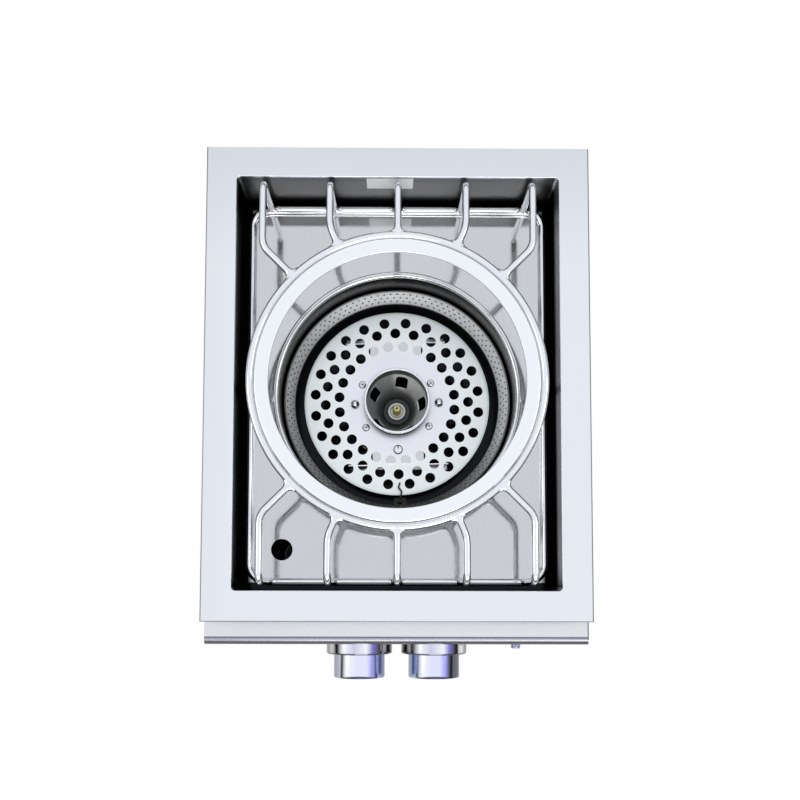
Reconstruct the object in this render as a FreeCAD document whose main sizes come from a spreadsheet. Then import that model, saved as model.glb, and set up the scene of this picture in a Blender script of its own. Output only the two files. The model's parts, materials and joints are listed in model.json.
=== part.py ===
"""Built-in side burner for an outdoor kitchen: a stainless box that hangs by its
picture-frame trim in a worktop, with a lift-off rod grate and wok ring over a
sunken perforated ring burner, a centre burner cup, and two knobs and a push
button on the front panel. Millimetres, +X right, +Y back, +Z up. The origin is
on the burner's axis, on the underside of the bottom plate."""
import FreeCAD, Part
import math
import os
from types import SimpleNamespace

import Sketcher
from FreeCAD import Placement, Rotation, Vector

SIZES = {
    # outer box and trim
    "body_height": 240.0,
    "trim_width": 400.0,
    "trim_depth": 495.0,
    "trim_border": 31.5,
    "trim_thickness": 2.5,
    "trim_edge_radius": 0.8,
    "trim_step": 0.5,
    "opening_corner": 4.0,
    "flange_reach": 16.0,
    "sheet_thickness": 1.2,
    "panel_flange": 14.0,
    "tray_height": 15.0,
    # fixings and vents of the box
    "fixing_pitch": 300.0,
    "fixing_drop": 40.0,
    "fixing_radius": 2.75,
    "screw_radius": 2.0,
    "screw_play": 0.08,
    "screw_head_radius": 3.8,
    "screw_head_height": 2.2,
    "screw_length": 7.0,
    "screw_pitch": 190.0,
    "screw_lift": 8.0,
    "vent_width": 6.0,
    "vent_length": 44.0,
    "vent_span": 200.0,
    "vent_count": 9,
    "side_vent_lift": 60.0,
    "floor_vent_offset": 95.0,
    # well and floor pan
    "well_depth": 68.0,
    "ledge_width": 12.0,
    "pan_gap": 0.5,
    "drain_x": 125.5,
    "drain_y": 172.0,
    "drain_radius": 11.8,
    "drain_lip": 4.0,
    # grate
    "rest_gap": 0.3,
    "frame_rod_radius": 4.0,
    "frame_side_gap": 3.5,
    "frame_end_gap": 5.0,
    "frame_corner": 20.0,
    "finger_radius": 3.9,
    "finger_bend": 9.0,
    "middle_finger_x": 70.7,
    "middle_bend_gap": 9.5,
    "middle_turn": 42.0,
    "outer_finger_inset": 21.0,
    "outer_bend_drop": 12.0,
    "outer_turn": 22.0,
    "ring_side_gap": 17.0,
    "ring_rod_radius": 4.1,
    "ring_lift": 10.0,
    # wok ring and its lugs
    "wok_ring_gap": 0.75,
    "wok_ring_width": 14.25,
    "wok_ring_thickness": 3.0,
    "wok_ring_step": 1.0,
    "wok_ring_edge": 1.0,
    "lug_width": 14.0,
    "lug_thickness": 3.0,
    "lug_reach": 9.0,
    "lug_turn": 45.0,
    # bowl
    "bowl_radius": 131.0,
    "bowl_depth": 82.0,
    "bowl_rim_width": 7.0,
    "bowl_rim_height": 3.6,
    "bowl_floor_hole": 62.0,
    "bowl_play": 0.5,
    # ring burner
    "burner_gap": 1.2,
    "band_drop": 104.0,
    "band_width": 12.0,
    "band_rise": 17.0,
    "port_radius": 0.8,
    "port_count": 36,
    "port_first": 0.14,
    "port_last": 0.76,
    "throat_width": 26.0,
    "throat_depth": 6.0,
    # venturi, neck and air shutter
    "venturi_drop": 185.0,
    "barrel_radius": 15.0,
    "barrel_length": 29.0,
    "waist_radius": 12.0,
    "waist_length": 8.0,
    "neck_half_width": 17.0,
    "neck_length": 26.0,
    "neck_reach": 4.8,
    "neck_down": 16.0,
    "neck_up": 12.0,
    "shutter_play": 0.08,
    "shutter_wall": 1.2,
    "shutter_start": 3.0,
    "shutter_length": 20.0,
    "window_length": 14.0,
    "window_height": 14.0,
    "window_start": 6.0,
    "shutter_tab": 6.0,
    # baffle disc and its brackets
    "disc_gap": 10.8,
    "disc_drop": 119.0,
    "disc_thickness": 1.5,
    "disc_play": 0.7,
    "disc_turn": 1.5,
    "disc_hole_radius": 5.85,
    "disc_hole_count": 24,
    "disc_margin": 12.2,
    "outer_ring_pitch": 12.2,
    "inner_ring_pitch": 15.6,
    "bracket_gap": 10.0,
    "bracket_half_width": 57.5,
    "tab_half_width": 29.5,
    "tab_gap": 2.0,
    "foot_width": 11.0,
    # centre cup
    "cup_radius": 35.3,
    "collar_height": 18.0,
    "collar_bead": 1.6,
    "cup_taper_start": 4.0,
    "cup_floor_radius": 17.0,
    "cup_floor_drop": 172.0,
    "cup_flange_width": 16.7,
    "cup_flange_cut": 8.0,
    "cup_turn": 7.0,
    "cup_slot_width": 14.0,
    "cup_slot_height": 13.0,
    "cup_slot_drop": 131.0,
    "cup_slot_count": 5,
    # fasteners of the disc
    "disc_screw_offset": 10.3,
    "rear_screw_angle": 30.0,
    "front_screw_angle": 37.0,
    "disc_nut_radius": 4.0,
    "disc_nut_height": 3.0,
    "dome_pin_offset": 13.3,
    "dome_pin_radius": 4.9,
    "dome_pin_shank": 2.0,
    "peg_setback": 8.0,
    "peg_radius": 5.4,
    "peg_height": 2.4,
    "peg_shank": 2.5,
    # centre orifice
    "holder_radius": 9.0,
    "holder_length": 16.0,
    "holder_shank": 6.0,
    "socket_radius": 10.8,
    "socket_height": 4.0,
    "jet_radius": 5.2,
    "jet_height": 5.0,
    "jet_bore": 0.8,
    # gas valves
    "valve_half_width": 12.0,
    "valve_up": 12.0,
    "valve_down": 15.0,
    "valve_start": 8.0,
    "valve_length": 30.0,
    "nose_radius": 10.0,
    "plug_radius": 7.0,
    "plug_length": 32.5,
    "plug_play": 0.05,
    "outlet_drop": 5.0,
    "outlet_length": 6.0,
    "outlet_radius": 5.0,
    "gas_bore": 2.5,
    # pipes
    "manifold_half": 10.0,
    "manifold_wall": 2.0,
    "manifold_left": 62.0,
    "supply_side_gap": 29.0,
    "supply_radius": 6.0,
    "supply_wall": 1.2,
    "feed_radius": 4.0,
    "feed_wall": 0.8,
    "feed_bend": 12.0,
    "feed_offset": 10.0,
    "center_feed_sag": 15.0,
    "ring_feed_drop": 34.0,
    "ring_feed_rise": 22.0,
    "inlet_thread_radius": 7.94,
    "inlet_thread_length": 19.5,
    "inlet_shank_radius": 8.7,
    "inlet_shank_length": 7.0,
    "inlet_hex_radius": 12.7,
    "inlet_hex_length": 9.0,
    "inlet_nut_height": 5.0,
    "inlet_play": 0.06,
    # ring orifice
    "jet_block_half": 9.0,
    "jet_block_depth": 18.0,
    "jet_hex_length": 4.0,
    "jet_hex_radius": 6.0,
    "jet_nose_radius": 4.5,
    "jet_nose_length": 8.0,
    "mouth_gap": 2.0,
    "mouth_play": 0.4,
    # control panel
    "control_drop": 25.0,
    "control_height": 100.0,
    "control_proud": 24.5,
    "control_round": 6.5,
    "control_lower_round": 2.5,
    # knobs, bezels and light rings
    "bezel_gap": 9.5,
    "knob_drop": 75.0,
    "knob_radius": 27.85,
    "knob_proud": 38.0,
    "knob_skirt": 9.0,
    "knob_wall": 2.5,
    "knob_cap": 4.0,
    "knob_edge": 1.5,
    "hub_radius": 8.0,
    "hub_end": 13.0,
    "pointer_width": 2.0,
    "pointer_length": 11.0,
    "pointer_depth": 0.6,
    "light_ring_width": 4.5,
    "bezel_proud": 12.5,
    "bezel_wall": 2.2,
    "bezel_base": 1.5,
    "bezel_round": 2.0,
    "light_ring_setback": 1.5,
    "knob_play": 1.2,
    "stem_radius": 3.0,
    "stem_flat": 2.0,
    "stem_play": 0.05,
    "stem_hole": 5.0,
    "stem_reach": 24.0,
    "knob_travel": 3.0,
    # push button and igniter
    "button_inset": 70.0,
    "button_radius": 5.2,
    "button_play": 0.3,
    "button_proud": 7.0,
    "button_travel": 3.0,
    "collar_radius": 8.5,
    "collar_proud": 2.6,
    "collar_wall": 1.3,
    "collar_depth": 9.0,
    "button_nut_radius": 11.0,
    "button_nut_height": 3.0,
    "igniter_radius": 13.0,
    "igniter_length": 26.0,
    "electrode_x": 4.0,
    "electrode_gap": 4.7,
    "ceramic_radius": 3.2,
    "ceramic_setback": 5.0,
    "ceramic_below": 10.0,
    "electrode_wire": 1.0,
    "electrode_play": 0.05,
    "electrode_tip_rise": 7.0,
    "electrode_tip_reach": 8.0,
    "clip_width": 14.0,
    "lead_radius": 2.2,
    "lead_bend": 14.0,
    "lead_sag": 20.0,
    "lead_clearance": 45.0,
}


class Size:
    """A length, with the sheet expression that it is worked out by."""

    def __init__(self, value, text):
        self.value = float(value)
        self.text = text

    def __add__(self, other):
        other = as_size(other)
        return Size(self.value + other.value, "(%s + %s)" % (self.text, other.text))

    def __sub__(self, other):
        other = as_size(other)
        return Size(self.value - other.value, "(%s - %s)" % (self.text, other.text))

    def __mul__(self, other):
        other = as_size(other)
        return Size(self.value * other.value, "(%s * %s)" % (self.text, other.text))

    def __truediv__(self, other):
        other = as_size(other)
        return Size(self.value / other.value, "(%s / %s)" % (self.text, other.text))

    def __radd__(self, other):
        return as_size(other) + self

    def __rsub__(self, other):
        return as_size(other) - self

    def __rmul__(self, other):
        return as_size(other) * self

    def __neg__(self):
        return as_size(0) - self


def as_size(number):
    return number if isinstance(number, Size) else Size(number, "%.6f" % number)


def root_of(size):
    return Size(math.sqrt(size.value), "sqrt(%s)" % size.text)


def make_sheet(document):
    """Writes the driving sizes to the sheet and returns them by name."""
    sheet = document.addObject("Spreadsheet::Sheet", "Sizes")
    found = {}
    for row, (name, value) in enumerate(SIZES.items(), 1):
        sheet.set("A%d" % row, name)
        sheet.set("B%d" % row, "%g" % value)
        sheet.setAlias("B%d" % row, name)
        found[name] = Size(value, "Sizes.%s" % name)
    document.recompute()
    return SimpleNamespace(**found)


doc = FreeCAD.newDocument("side_burner")
s = make_sheet(doc)
pieces = []

# levels and planes that many pieces share
sheet = s.sheet_thickness
top = s.body_height
trim_under = top - s.trim_thickness
trim_seat = trim_under - s.trim_step
casing_x = s.trim_width / 2 - s.flange_reach
casing_y = s.trim_depth / 2 - s.flange_reach
opening_x = s.trim_width / 2 - s.trim_border
opening_y = s.trim_depth / 2 - s.trim_border
pan_top = top - s.well_depth
pan_under = pan_top - sheet
ledge_under = pan_under - sheet
bowl_floor = pan_top - s.bowl_depth
ring_z = top + s.ring_lift - s.ring_rod_radius
ring_radius = opening_x - s.ring_side_gap
middle_bend_y = ring_radius + s.middle_bend_gap
outer_bend_y = ring_radius - s.outer_bend_drop
wok_ring_outer = ring_radius - s.ring_rod_radius - s.wok_ring_gap
wok_ring_inner = wok_ring_outer - s.wok_ring_width
frame_x = opening_x - s.frame_side_gap - s.frame_rod_radius
frame_y = opening_y - s.frame_end_gap - s.frame_rod_radius
frame_z = pan_top + s.rest_gap + s.frame_rod_radius
disc_top = top - s.disc_drop
disc_under = disc_top - s.disc_thickness
cup_floor = top - s.cup_floor_drop
burner_outer = s.bowl_radius - s.burner_gap
burner_inner = burner_outer - s.band_width
burner_middle = (burner_outer + burner_inner) / 2
disc_radius = burner_inner - s.disc_gap
outer_hole_ring = disc_radius - s.disc_margin
middle_hole_ring = outer_hole_ring - s.outer_ring_pitch
inner_hole_ring = middle_hole_ring - s.inner_ring_pitch
cup_outer = s.cup_radius + sheet
disc_bore = cup_outer + s.disc_play
flange_radius = s.cup_radius + s.cup_flange_width
flange_half = flange_radius - s.cup_flange_cut
screw_ring = s.cup_radius + s.disc_screw_offset
dome_pin_ring = s.cup_radius + s.dome_pin_offset
tab_inner = flange_half + s.tab_gap
peg_y = tab_inner + s.peg_setback
bracket_y = s.bowl_floor_hole + s.bracket_gap
electrode_y = -(disc_radius + s.electrode_gap)
band_top = top - s.band_drop
band_low = band_top - s.band_rise
control_top = top - s.control_drop
control_low = control_top - s.control_height
face_y = -(s.trim_depth / 2 + s.control_proud)
bezel_inner = s.knob_radius + s.knob_play + s.light_ring_width
bezel_radius = bezel_inner + s.bezel_wall
knob_x = bezel_radius + s.bezel_gap / 2
knob_z = top - s.knob_drop
button_x = s.trim_width / 2 - s.button_inset
manifold_top = knob_z - s.valve_down
manifold_z = manifold_top - s.manifold_half
manifold_y = face_y + s.valve_start + s.valve_length / 2
supply_x = casing_x - s.supply_side_gap
manifold_right = supply_x - s.manifold_half
venturi_z = top - s.venturi_drop
front_inner = -(casing_y - 2 * sheet)
rear_inner = casing_y - 2 * sheet
jet_face = front_inner + s.jet_block_depth
mouth_y = jet_face + s.jet_hex_length + s.mouth_gap
neck_back = s.neck_reach - burner_middle
neck_front = neck_back - s.neck_length
feed_y = front_inner + s.feed_offset


# sketches and features

def bind(thing, name, size):
    thing.setExpression(name, as_size(size).text)


def new_body(label, x=0, y=0, z=0, turn=None):
    """An empty body whose local origin is bound to x, y and z."""
    body = doc.addObject("PartDesign::Body", label)
    body.Label = label
    for axis, size in (("x", x), ("y", y), ("z", z)):
        bind(body, "Placement.Base." + axis, size)
    if turn is not None:
        body.Placement = Placement(Vector(), Rotation(Vector(0, 0, 1), turn.value))
    pieces.append(body)
    return body


def origin_feature(body, role):
    return next(item for item in body.Origin.OriginFeatures if item.Role == role)


def new_sketch(body, role, lift=0, turn=0):
    """A sketch on an origin plane of the body, lifted along the plane's normal."""
    sketch = body.newObject("Sketcher::SketchObject", body.Name + "_sketch")
    sketch.AttachmentSupport = [(origin_feature(body, role), "")]
    sketch.MapMode = "FlatFace"
    sketch.AttachmentOffset = Placement(Vector(), Rotation(Vector(0, 0, 1), turn))
    bind(sketch, "AttachmentOffset.Base.z", lift)
    return sketch


def set_size(sketch, constraint, size):
    index = sketch.addConstraint(constraint)
    sketch.setExpression("Constraints[%d]" % index, size.text)


def hold_point(sketch, item, end, x, y):
    """Holds a point of the sketch at x and y, measured from the sketch's origin."""
    for kind, axis, size in (("DistanceX", -2, as_size(x)), ("DistanceY", -1, as_size(y))):
        if abs(size.value) < 1e-9:
            sketch.addConstraint(Sketcher.Constraint("PointOnObject", item, end, axis))
        else:
            set_size(sketch, Sketcher.Constraint(kind, -1, 1, item, end, size.value), size)


def circle(sketch, radius, x=0, y=0):
    radius, x, y = as_size(radius), as_size(x), as_size(y)
    centre = Vector(x.value, y.value, 0)
    item = sketch.addGeometry(Part.Circle(centre, Vector(0, 0, 1), radius.value))
    hold_point(sketch, item, 3, x, y)
    set_size(sketch, Sketcher.Constraint("Radius", item, radius.value), radius)


def round_corner(sketch, before, after, corner, points):
    """A tangent arc between two lines whose sharp corner is held in place."""
    last, here, following = points
    radius = as_size(corner[2])
    inward = (last - here).normalize()
    outward = (following - here).normalize()
    half = inward.getAngle(outward) / 2
    centre = here + (inward + outward).normalize() * (radius.value / math.sin(half))
    entry = here + inward * (radius.value / math.tan(half)) - centre
    leave = here + outward * (radius.value / math.tan(half)) - centre
    left_turn = (here - last).cross(following - here).z > 0
    first, second = (entry, leave) if left_turn else (leave, entry)
    full = Part.Circle(centre, Vector(0, 0, 1), radius.value)
    angles = [math.atan2(point.y, point.x) for point in (first, second)]
    arc = sketch.addGeometry(Part.ArcOfCircle(full, *angles))
    ends = (1, 2) if left_turn else (2, 1)
    sketch.addConstraint(Sketcher.Constraint("Tangent", before, 2, arc, ends[0]))
    sketch.addConstraint(Sketcher.Constraint("Tangent", arc, ends[1], after, 1))
    set_size(sketch, Sketcher.Constraint("Radius", arc, radius.value), radius)
    sharp = sketch.addGeometry(Part.Point(here), True)
    sketch.addConstraint(Sketcher.Constraint("PointOnObject", sharp, 1, before))
    sketch.addConstraint(Sketcher.Constraint("PointOnObject", sharp, 1, after))
    hold_point(sketch, sharp, 1, corner[0], corner[1])


def outline(sketch, corners):
    """A closed outline; each corner is x, y and, where it is rounded, a radius."""
    count = len(corners)
    sharp = [Vector(as_size(c[0]).value, as_size(c[1]).value, 0) for c in corners]
    entries, leaves = [], []
    for index, corner in enumerate(corners):
        here = sharp[index]
        last = (sharp[index - 1] - here).normalize()
        following = (sharp[(index + 1) % count] - here).normalize()
        back = 0
        if len(corner) == 3:
            back = as_size(corner[2]).value / math.tan(last.getAngle(following) / 2)
        entries.append(here + last * back)
        leaves.append(here + following * back)
    lines = []
    for index in range(count):
        run = Part.LineSegment(leaves[index], entries[(index + 1) % count])
        lines.append(sketch.addGeometry(run))
    for index, corner in enumerate(corners):
        before, after = lines[index - 1], lines[index]
        if len(corner) == 3:
            near = (sharp[index - 1], sharp[index], sharp[(index + 1) % count])
            round_corner(sketch, before, after, corner, near)
        else:
            sketch.addConstraint(Sketcher.Constraint("Coincident", before, 2, after, 1))
            hold_point(sketch, after, 1, corner[0], corner[1])


def box_outline(sketch, low_x, high_x, low_y, high_y, radius=None):
    end = () if radius is None else (radius,)
    outline(sketch, [(low_x, low_y) + end, (high_x, low_y) + end,
                     (high_x, high_y) + end, (low_x, high_y) + end])


def flat_round(sketch, radius, flat):
    """A circle about the origin with one flat, as on a keyed stem."""
    reach = math.sqrt(radius.value ** 2 - flat.value ** 2)
    angle = math.atan2(flat.value, reach)
    full = Part.Circle(Vector(), Vector(0, 0, 1), radius.value)
    arc = sketch.addGeometry(Part.ArcOfCircle(full, math.pi - angle, 2 * math.pi + angle))
    ends = Vector(reach, flat.value, 0), Vector(-reach, flat.value, 0)
    chord = sketch.addGeometry(Part.LineSegment(*ends))
    sketch.addConstraint(Sketcher.Constraint("Coincident", arc, 3, -1, 1))
    sketch.addConstraint(Sketcher.Constraint("Coincident", arc, 2, chord, 1))
    sketch.addConstraint(Sketcher.Constraint("Coincident", chord, 2, arc, 1))
    sketch.addConstraint(Sketcher.Constraint("Horizontal", chord))
    set_size(sketch, Sketcher.Constraint("Radius", arc, radius.value), radius)
    set_size(sketch, Sketcher.Constraint("DistanceY", -1, 1, chord, 1, flat.value), flat)


def extrude(body, sketch, kind, length, backward=False, both_ways=False):
    feature = body.newObject("PartDesign::" + kind, body.Name + "_" + kind.lower())
    feature.Profile = sketch
    bind(feature, "Length", length)
    feature.Reversed = backward
    if both_ways:
        feature.SideType = "Symmetric"
    return feature


def pad(body, sketch, length, **how):
    return extrude(body, sketch, "Pad", length, **how)


def pocket(body, sketch, length, **how):
    return extrude(body, sketch, "Pocket", length, **how)


def turned(body, sketch, kind, axis):
    """A revolved profile, about the sketch's H_Axis or V_Axis."""
    feature = body.newObject("PartDesign::" + kind, body.Name + "_" + kind.lower())
    feature.Profile = sketch
    feature.ReferenceAxis = (sketch, [axis])
    feature.Angle = 360
    return feature


def polar(body, feature, count):
    pattern = body.newObject("PartDesign::PolarPattern", feature.Name + "_ring")
    pattern.Originals = [feature]
    pattern.Axis = (origin_feature(body, "Z_Axis"), [""])
    pattern.Angle = 360
    bind(pattern, "Occurrences", count)
    body.Tip = pattern


def in_line(body, feature, role, span, count):
    pattern = body.newObject("PartDesign::LinearPattern", feature.Name + "_row")
    pattern.Originals = [feature]
    pattern.Direction = (origin_feature(body, role), [""])
    bind(pattern, "Length", span)
    bind(pattern, "Occurrences", count)
    body.Tip = pattern


DIRECTIONS = {
    "+X": Rotation(Vector(0, 1, 0), 90),
    "-X": Rotation(Vector(0, 1, 0), -90),
    "+Z": Rotation(),
    "-Z": Rotation(Vector(1, 0, 0), 180),
}


def round_bar(name, radius, length, place, direction="+Z"):
    """A plain cylinder that starts at place and runs along direction."""
    bar = doc.addObject("Part::Cylinder", name)
    bind(bar, "Radius", radius)
    bind(bar, "Height", length)
    bar.Placement = Placement(Vector(), DIRECTIONS[direction])
    for axis, size in zip("xyz", place):
        bind(bar, "Placement.Base." + axis, size)
    return bar


def joined(name, parts):
    whole = doc.addObject("Part::MultiFuse", name)
    whole.Shapes = parts
    return whole


def group(label, parts):
    """Identical pieces under one name, each a separate solid."""
    lot = doc.addObject("Part::Compound", label)
    lot.Label = label
    lot.Links = parts
    pieces.append(lot)


def shape_piece(label, shape):
    piece = doc.addObject("Part::Feature", label)
    piece.Label = label
    piece.Shape = shape
    pieces.append(piece)
    return piece


def bent_path(points, bend):
    """Straight runs through the points, joined by tangent arcs."""
    edges = []
    start = points[0]
    for last, here, following in zip(points, points[1:], points[2:]):
        inward = (last - here).normalize()
        outward = (following - here).normalize()
        half = inward.getAngle(outward) / 2
        entry = here + inward * (bend / math.tan(half))
        leave = here + outward * (bend / math.tan(half))
        middle = (inward + outward).normalize()
        crown = here + middle * (bend / math.sin(half) - bend)
        edges.append(Part.LineSegment(start, entry).toShape())
        edges.append(Part.Arc(entry, crown, leave).toShape())
        start = leave
    edges.append(Part.LineSegment(start, points[-1]).toShape())
    return Part.Wire(edges)


def round_section(start, direction, radius):
    edge = Part.makeCircle(radius, start, direction)
    return Part.Face(Part.Wire([edge]))


def bent_rod(points, bend, radius):
    path = bent_path(points, bend)
    return path.makePipe(round_section(points[0], points[1] - points[0], radius))


def bent_tube(points, bend, radius, wall):
    return bent_rod(points, bend, radius).cut(bent_rod(points, bend, radius - wall))


def at(x, y, z):
    return Vector(as_size(x).value, as_size(y).value, as_size(z).value)


def top_face(shape):
    """Name of the flat face that lies highest."""
    heights = [face.CenterOfMass.z for face in shape.Faces]
    return "Face%d" % (heights.index(max(heights)) + 1)


# trim and casing

def make_top_trim():
    """Picture frame; a low step underneath centres it and leaves the overhang free."""
    body = new_body("top_trim")
    sketch = new_sketch(body, "XY_Plane", trim_under)
    half_x, half_y = s.trim_width / 2, s.trim_depth / 2
    box_outline(sketch, -half_x, half_x, -half_y, half_y)
    box_outline(sketch, -opening_x, opening_x, -opening_y, opening_y, s.opening_corner)
    frame = pad(body, sketch, s.trim_thickness)
    doc.recompute()
    edge = body.newObject("PartDesign::Fillet", "trim_edges")
    edge.Base = (frame, [top_face(frame.Shape)])
    bind(edge, "Radius", s.trim_edge_radius)
    centring = new_sketch(body, "XY_Plane", trim_seat)
    step_x, step_y = casing_x + s.trim_step, casing_y + s.trim_step
    box_outline(centring, -step_x, step_x, -step_y, step_y)
    box_outline(centring, -opening_x, opening_x, -opening_y, opening_y, s.opening_corner)
    pad(body, centring, s.trim_step)


def make_side_panel(label, side):
    """A channel-shaped side of the casing, with vents, fixing and screw holes."""
    body = new_body(label)
    sketch = new_sketch(body, "XY_Plane")
    outer, inner = side * casing_x, side * (casing_x - sheet)
    lip = side * (casing_x - s.panel_flange)
    outline(sketch, [(outer, -casing_y), (lip, -casing_y), (lip, sheet - casing_y),
                     (inner, sheet - casing_y), (inner, casing_y - sheet),
                     (lip, casing_y - sheet), (lip, casing_y), (outer, casing_y)])
    pad(body, sketch, trim_seat)
    middle = side * (casing_x - sheet / 2)
    holes = new_sketch(body, "YZ_Plane", middle)
    for way in (-1, 1):
        circle(holes, s.fixing_radius, way * s.fixing_pitch / 2, top - s.fixing_drop)
    for step in (-1, 0, 1):
        circle(holes, s.screw_radius + s.screw_play, step * s.screw_pitch, s.screw_lift)
    pocket(body, holes, 4 * sheet, both_ways=True)
    slot = new_sketch(body, "YZ_Plane", middle)
    start = -s.vent_span / 2
    box_outline(slot, start - s.vent_width / 2, start + s.vent_width / 2, s.side_vent_lift,
                s.side_vent_lift + s.vent_length, s.vent_width * 0.49)
    vent = pocket(body, slot, 4 * sheet, both_ways=True)
    in_line(body, vent, "Y_Axis", s.vent_span, s.vent_count)


def make_rear_panel():
    body = new_body("rear_panel")
    sketch = new_sketch(body, "XZ_Plane", sheet - casing_y)
    box_outline(sketch, sheet - casing_x, casing_x - sheet, 0, trim_seat)
    circle(sketch, s.inlet_shank_radius + s.inlet_play, supply_x, manifold_z)
    pad(body, sketch, sheet)
    slot = new_sketch(body, "XZ_Plane", -casing_y)
    start = -s.vent_span / 2
    box_outline(slot, start - s.vent_width / 2, start + s.vent_width / 2, s.side_vent_lift,
                s.side_vent_lift + s.vent_length, s.vent_width * 0.49)
    vent = pocket(body, slot, 6 * sheet, both_ways=True)
    in_line(body, vent, "X_Axis", s.vent_span, s.vent_count)


def make_front_panel():
    """Inner front wall, with the window that the valves reach through."""
    body = new_body("front_panel")
    sketch = new_sketch(body, "XZ_Plane", casing_y - 2 * sheet)
    box_outline(sketch, sheet - casing_x, casing_x - sheet, 0, trim_seat)
    window = knob_x + s.valve_half_width + 5
    box_outline(sketch, -window, window, knob_z - s.valve_down, knob_z + s.valve_up, 4)
    circle(sketch, s.lead_radius + 2, button_x, knob_z)
    circle(sketch, s.supply_radius + 1, supply_x, manifold_z)
    pad(body, sketch, sheet)


def make_bottom_plate():
    """A tray with upturned edges, two rows of vents and the drain outlet."""
    body = new_body("bottom_plate")
    sketch = new_sketch(body, "XY_Plane")
    half_x, half_y = casing_x - sheet, casing_y - 2 * sheet
    box_outline(sketch, -half_x, half_x, -half_y, half_y)
    circle(sketch, s.drain_radius + 4, -s.drain_x, -s.drain_y)
    pad(body, sketch, s.tray_height)
    hollow = new_sketch(body, "XY_Plane", s.tray_height)
    box_outline(hollow, sheet - half_x, half_x - sheet, sheet - half_y, half_y - sheet)
    pocket(body, hollow, s.tray_height - sheet)
    holes = new_sketch(body, "YZ_Plane")
    for step in (-1, 0, 1):
        circle(holes, s.screw_radius + s.screw_play, step * s.screw_pitch, s.screw_lift)
    pocket(body, holes, 2 * casing_x + 2, both_ways=True)
    for way in (-1, 1):
        slot = new_sketch(body, "XY_Plane", sheet)
        start, row = -s.vent_span / 2, way * s.floor_vent_offset
        box_outline(slot, start - s.vent_width / 2, start + s.vent_width / 2,
                    row - s.vent_length / 2, row + s.vent_length / 2, s.vent_width * 0.49)
        vent = pocket(body, slot, 2 * sheet)
        in_line(body, vent, "X_Axis", s.vent_span, s.vent_count)


def make_casing_screws():
    screws = []
    for side, direction in ((-1, "+X"), (1, "-X")):
        for step in (-1, 0, 1):
            name = "casing_screw_%s%d" % ("left" if side < 0 else "right", step + 2)
            y = step * s.screw_pitch
            head_x = side * (casing_x + s.screw_head_height)
            head = round_bar(name + "_head", s.screw_head_radius, s.screw_head_height,
                             (head_x, y, s.screw_lift), direction)
            shank = round_bar(name + "_shank", s.screw_radius, s.screw_length,
                              (side * casing_x, y, s.screw_lift), direction)
            screws.append(joined(name, [head, shank]))
    group("casing_screws", screws)


# well

def make_well_liner():
    body = new_body("well_liner")
    walls = new_sketch(body, "XY_Plane", ledge_under)
    half_x, half_y = opening_x + sheet, opening_y + sheet
    box_outline(walls, -half_x, half_x, -half_y, half_y, s.opening_corner + sheet)
    box_outline(walls, -opening_x, opening_x, -opening_y, opening_y, s.opening_corner)
    pad(body, walls, trim_seat - ledge_under)
    ledge = new_sketch(body, "XY_Plane", ledge_under)
    box_outline(ledge, -half_x, half_x, -half_y, half_y, s.opening_corner + sheet)
    inner_x, inner_y = opening_x - s.ledge_width, opening_y - s.ledge_width
    box_outline(ledge, -inner_x, inner_x, -inner_y, inner_y, s.opening_corner)
    pad(body, ledge, sheet)


def make_floor_pan():
    body = new_body("floor_pan")
    plate = new_sketch(body, "XY_Plane", pan_under)
    half_x, half_y = opening_x - s.pan_gap, opening_y - s.pan_gap
    box_outline(plate, -half_x, half_x, -half_y, half_y, s.opening_corner)
    circle(plate, s.bowl_radius + sheet + s.bowl_play)
    circle(plate, s.drain_radius, -s.drain_x, -s.drain_y)
    pad(body, plate, sheet)
    lip = new_sketch(body, "XY_Plane", pan_top)
    circle(lip, s.drain_radius + sheet, -s.drain_x, -s.drain_y)
    circle(lip, s.drain_radius, -s.drain_x, -s.drain_y)
    pad(body, lip, sheet + s.drain_lip, backward=True)


# grate and wok ring

def finger_points(x, way, bend_y):
    """Foot on the frame rod, up, in over the well, then straight at the burner's axis."""
    foot_y = way * frame_y
    points = [at(x, foot_y, frame_z), at(x, foot_y, ring_z)]
    if bend_y is None:
        points.append(at(0, way * ring_radius, ring_z))
    else:
        turn = at(x, way * bend_y, 0)
        points.append(at(x, way * bend_y, ring_z))
        points.append(turn * (ring_radius.value / turn.Length) + at(0, 0, ring_z))
    return points


def rounded_loop(half_x, half_y, corner, z):
    """Centre line of a closed rounded rectangle, starting in the middle of its front."""
    corners = [at(half_x, -half_y, z), at(half_x, half_y, z),
               at(-half_x, half_y, z), at(-half_x, -half_y, z)]
    start = at(0, -half_y, z)
    return bent_path([start] + corners + [start], corner.value)


def frame_shape():
    path = rounded_loop(frame_x, frame_y, s.frame_corner, frame_z)
    start = at(0, -frame_y, frame_z)
    return path.makePipe(round_section(start, Vector(1, 0, 0), s.frame_rod_radius.value))


def ring_rod_shape():
    place = at(0, 0, ring_z)
    return Part.makeTorus(ring_radius.value, s.ring_rod_radius.value, place)


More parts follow.
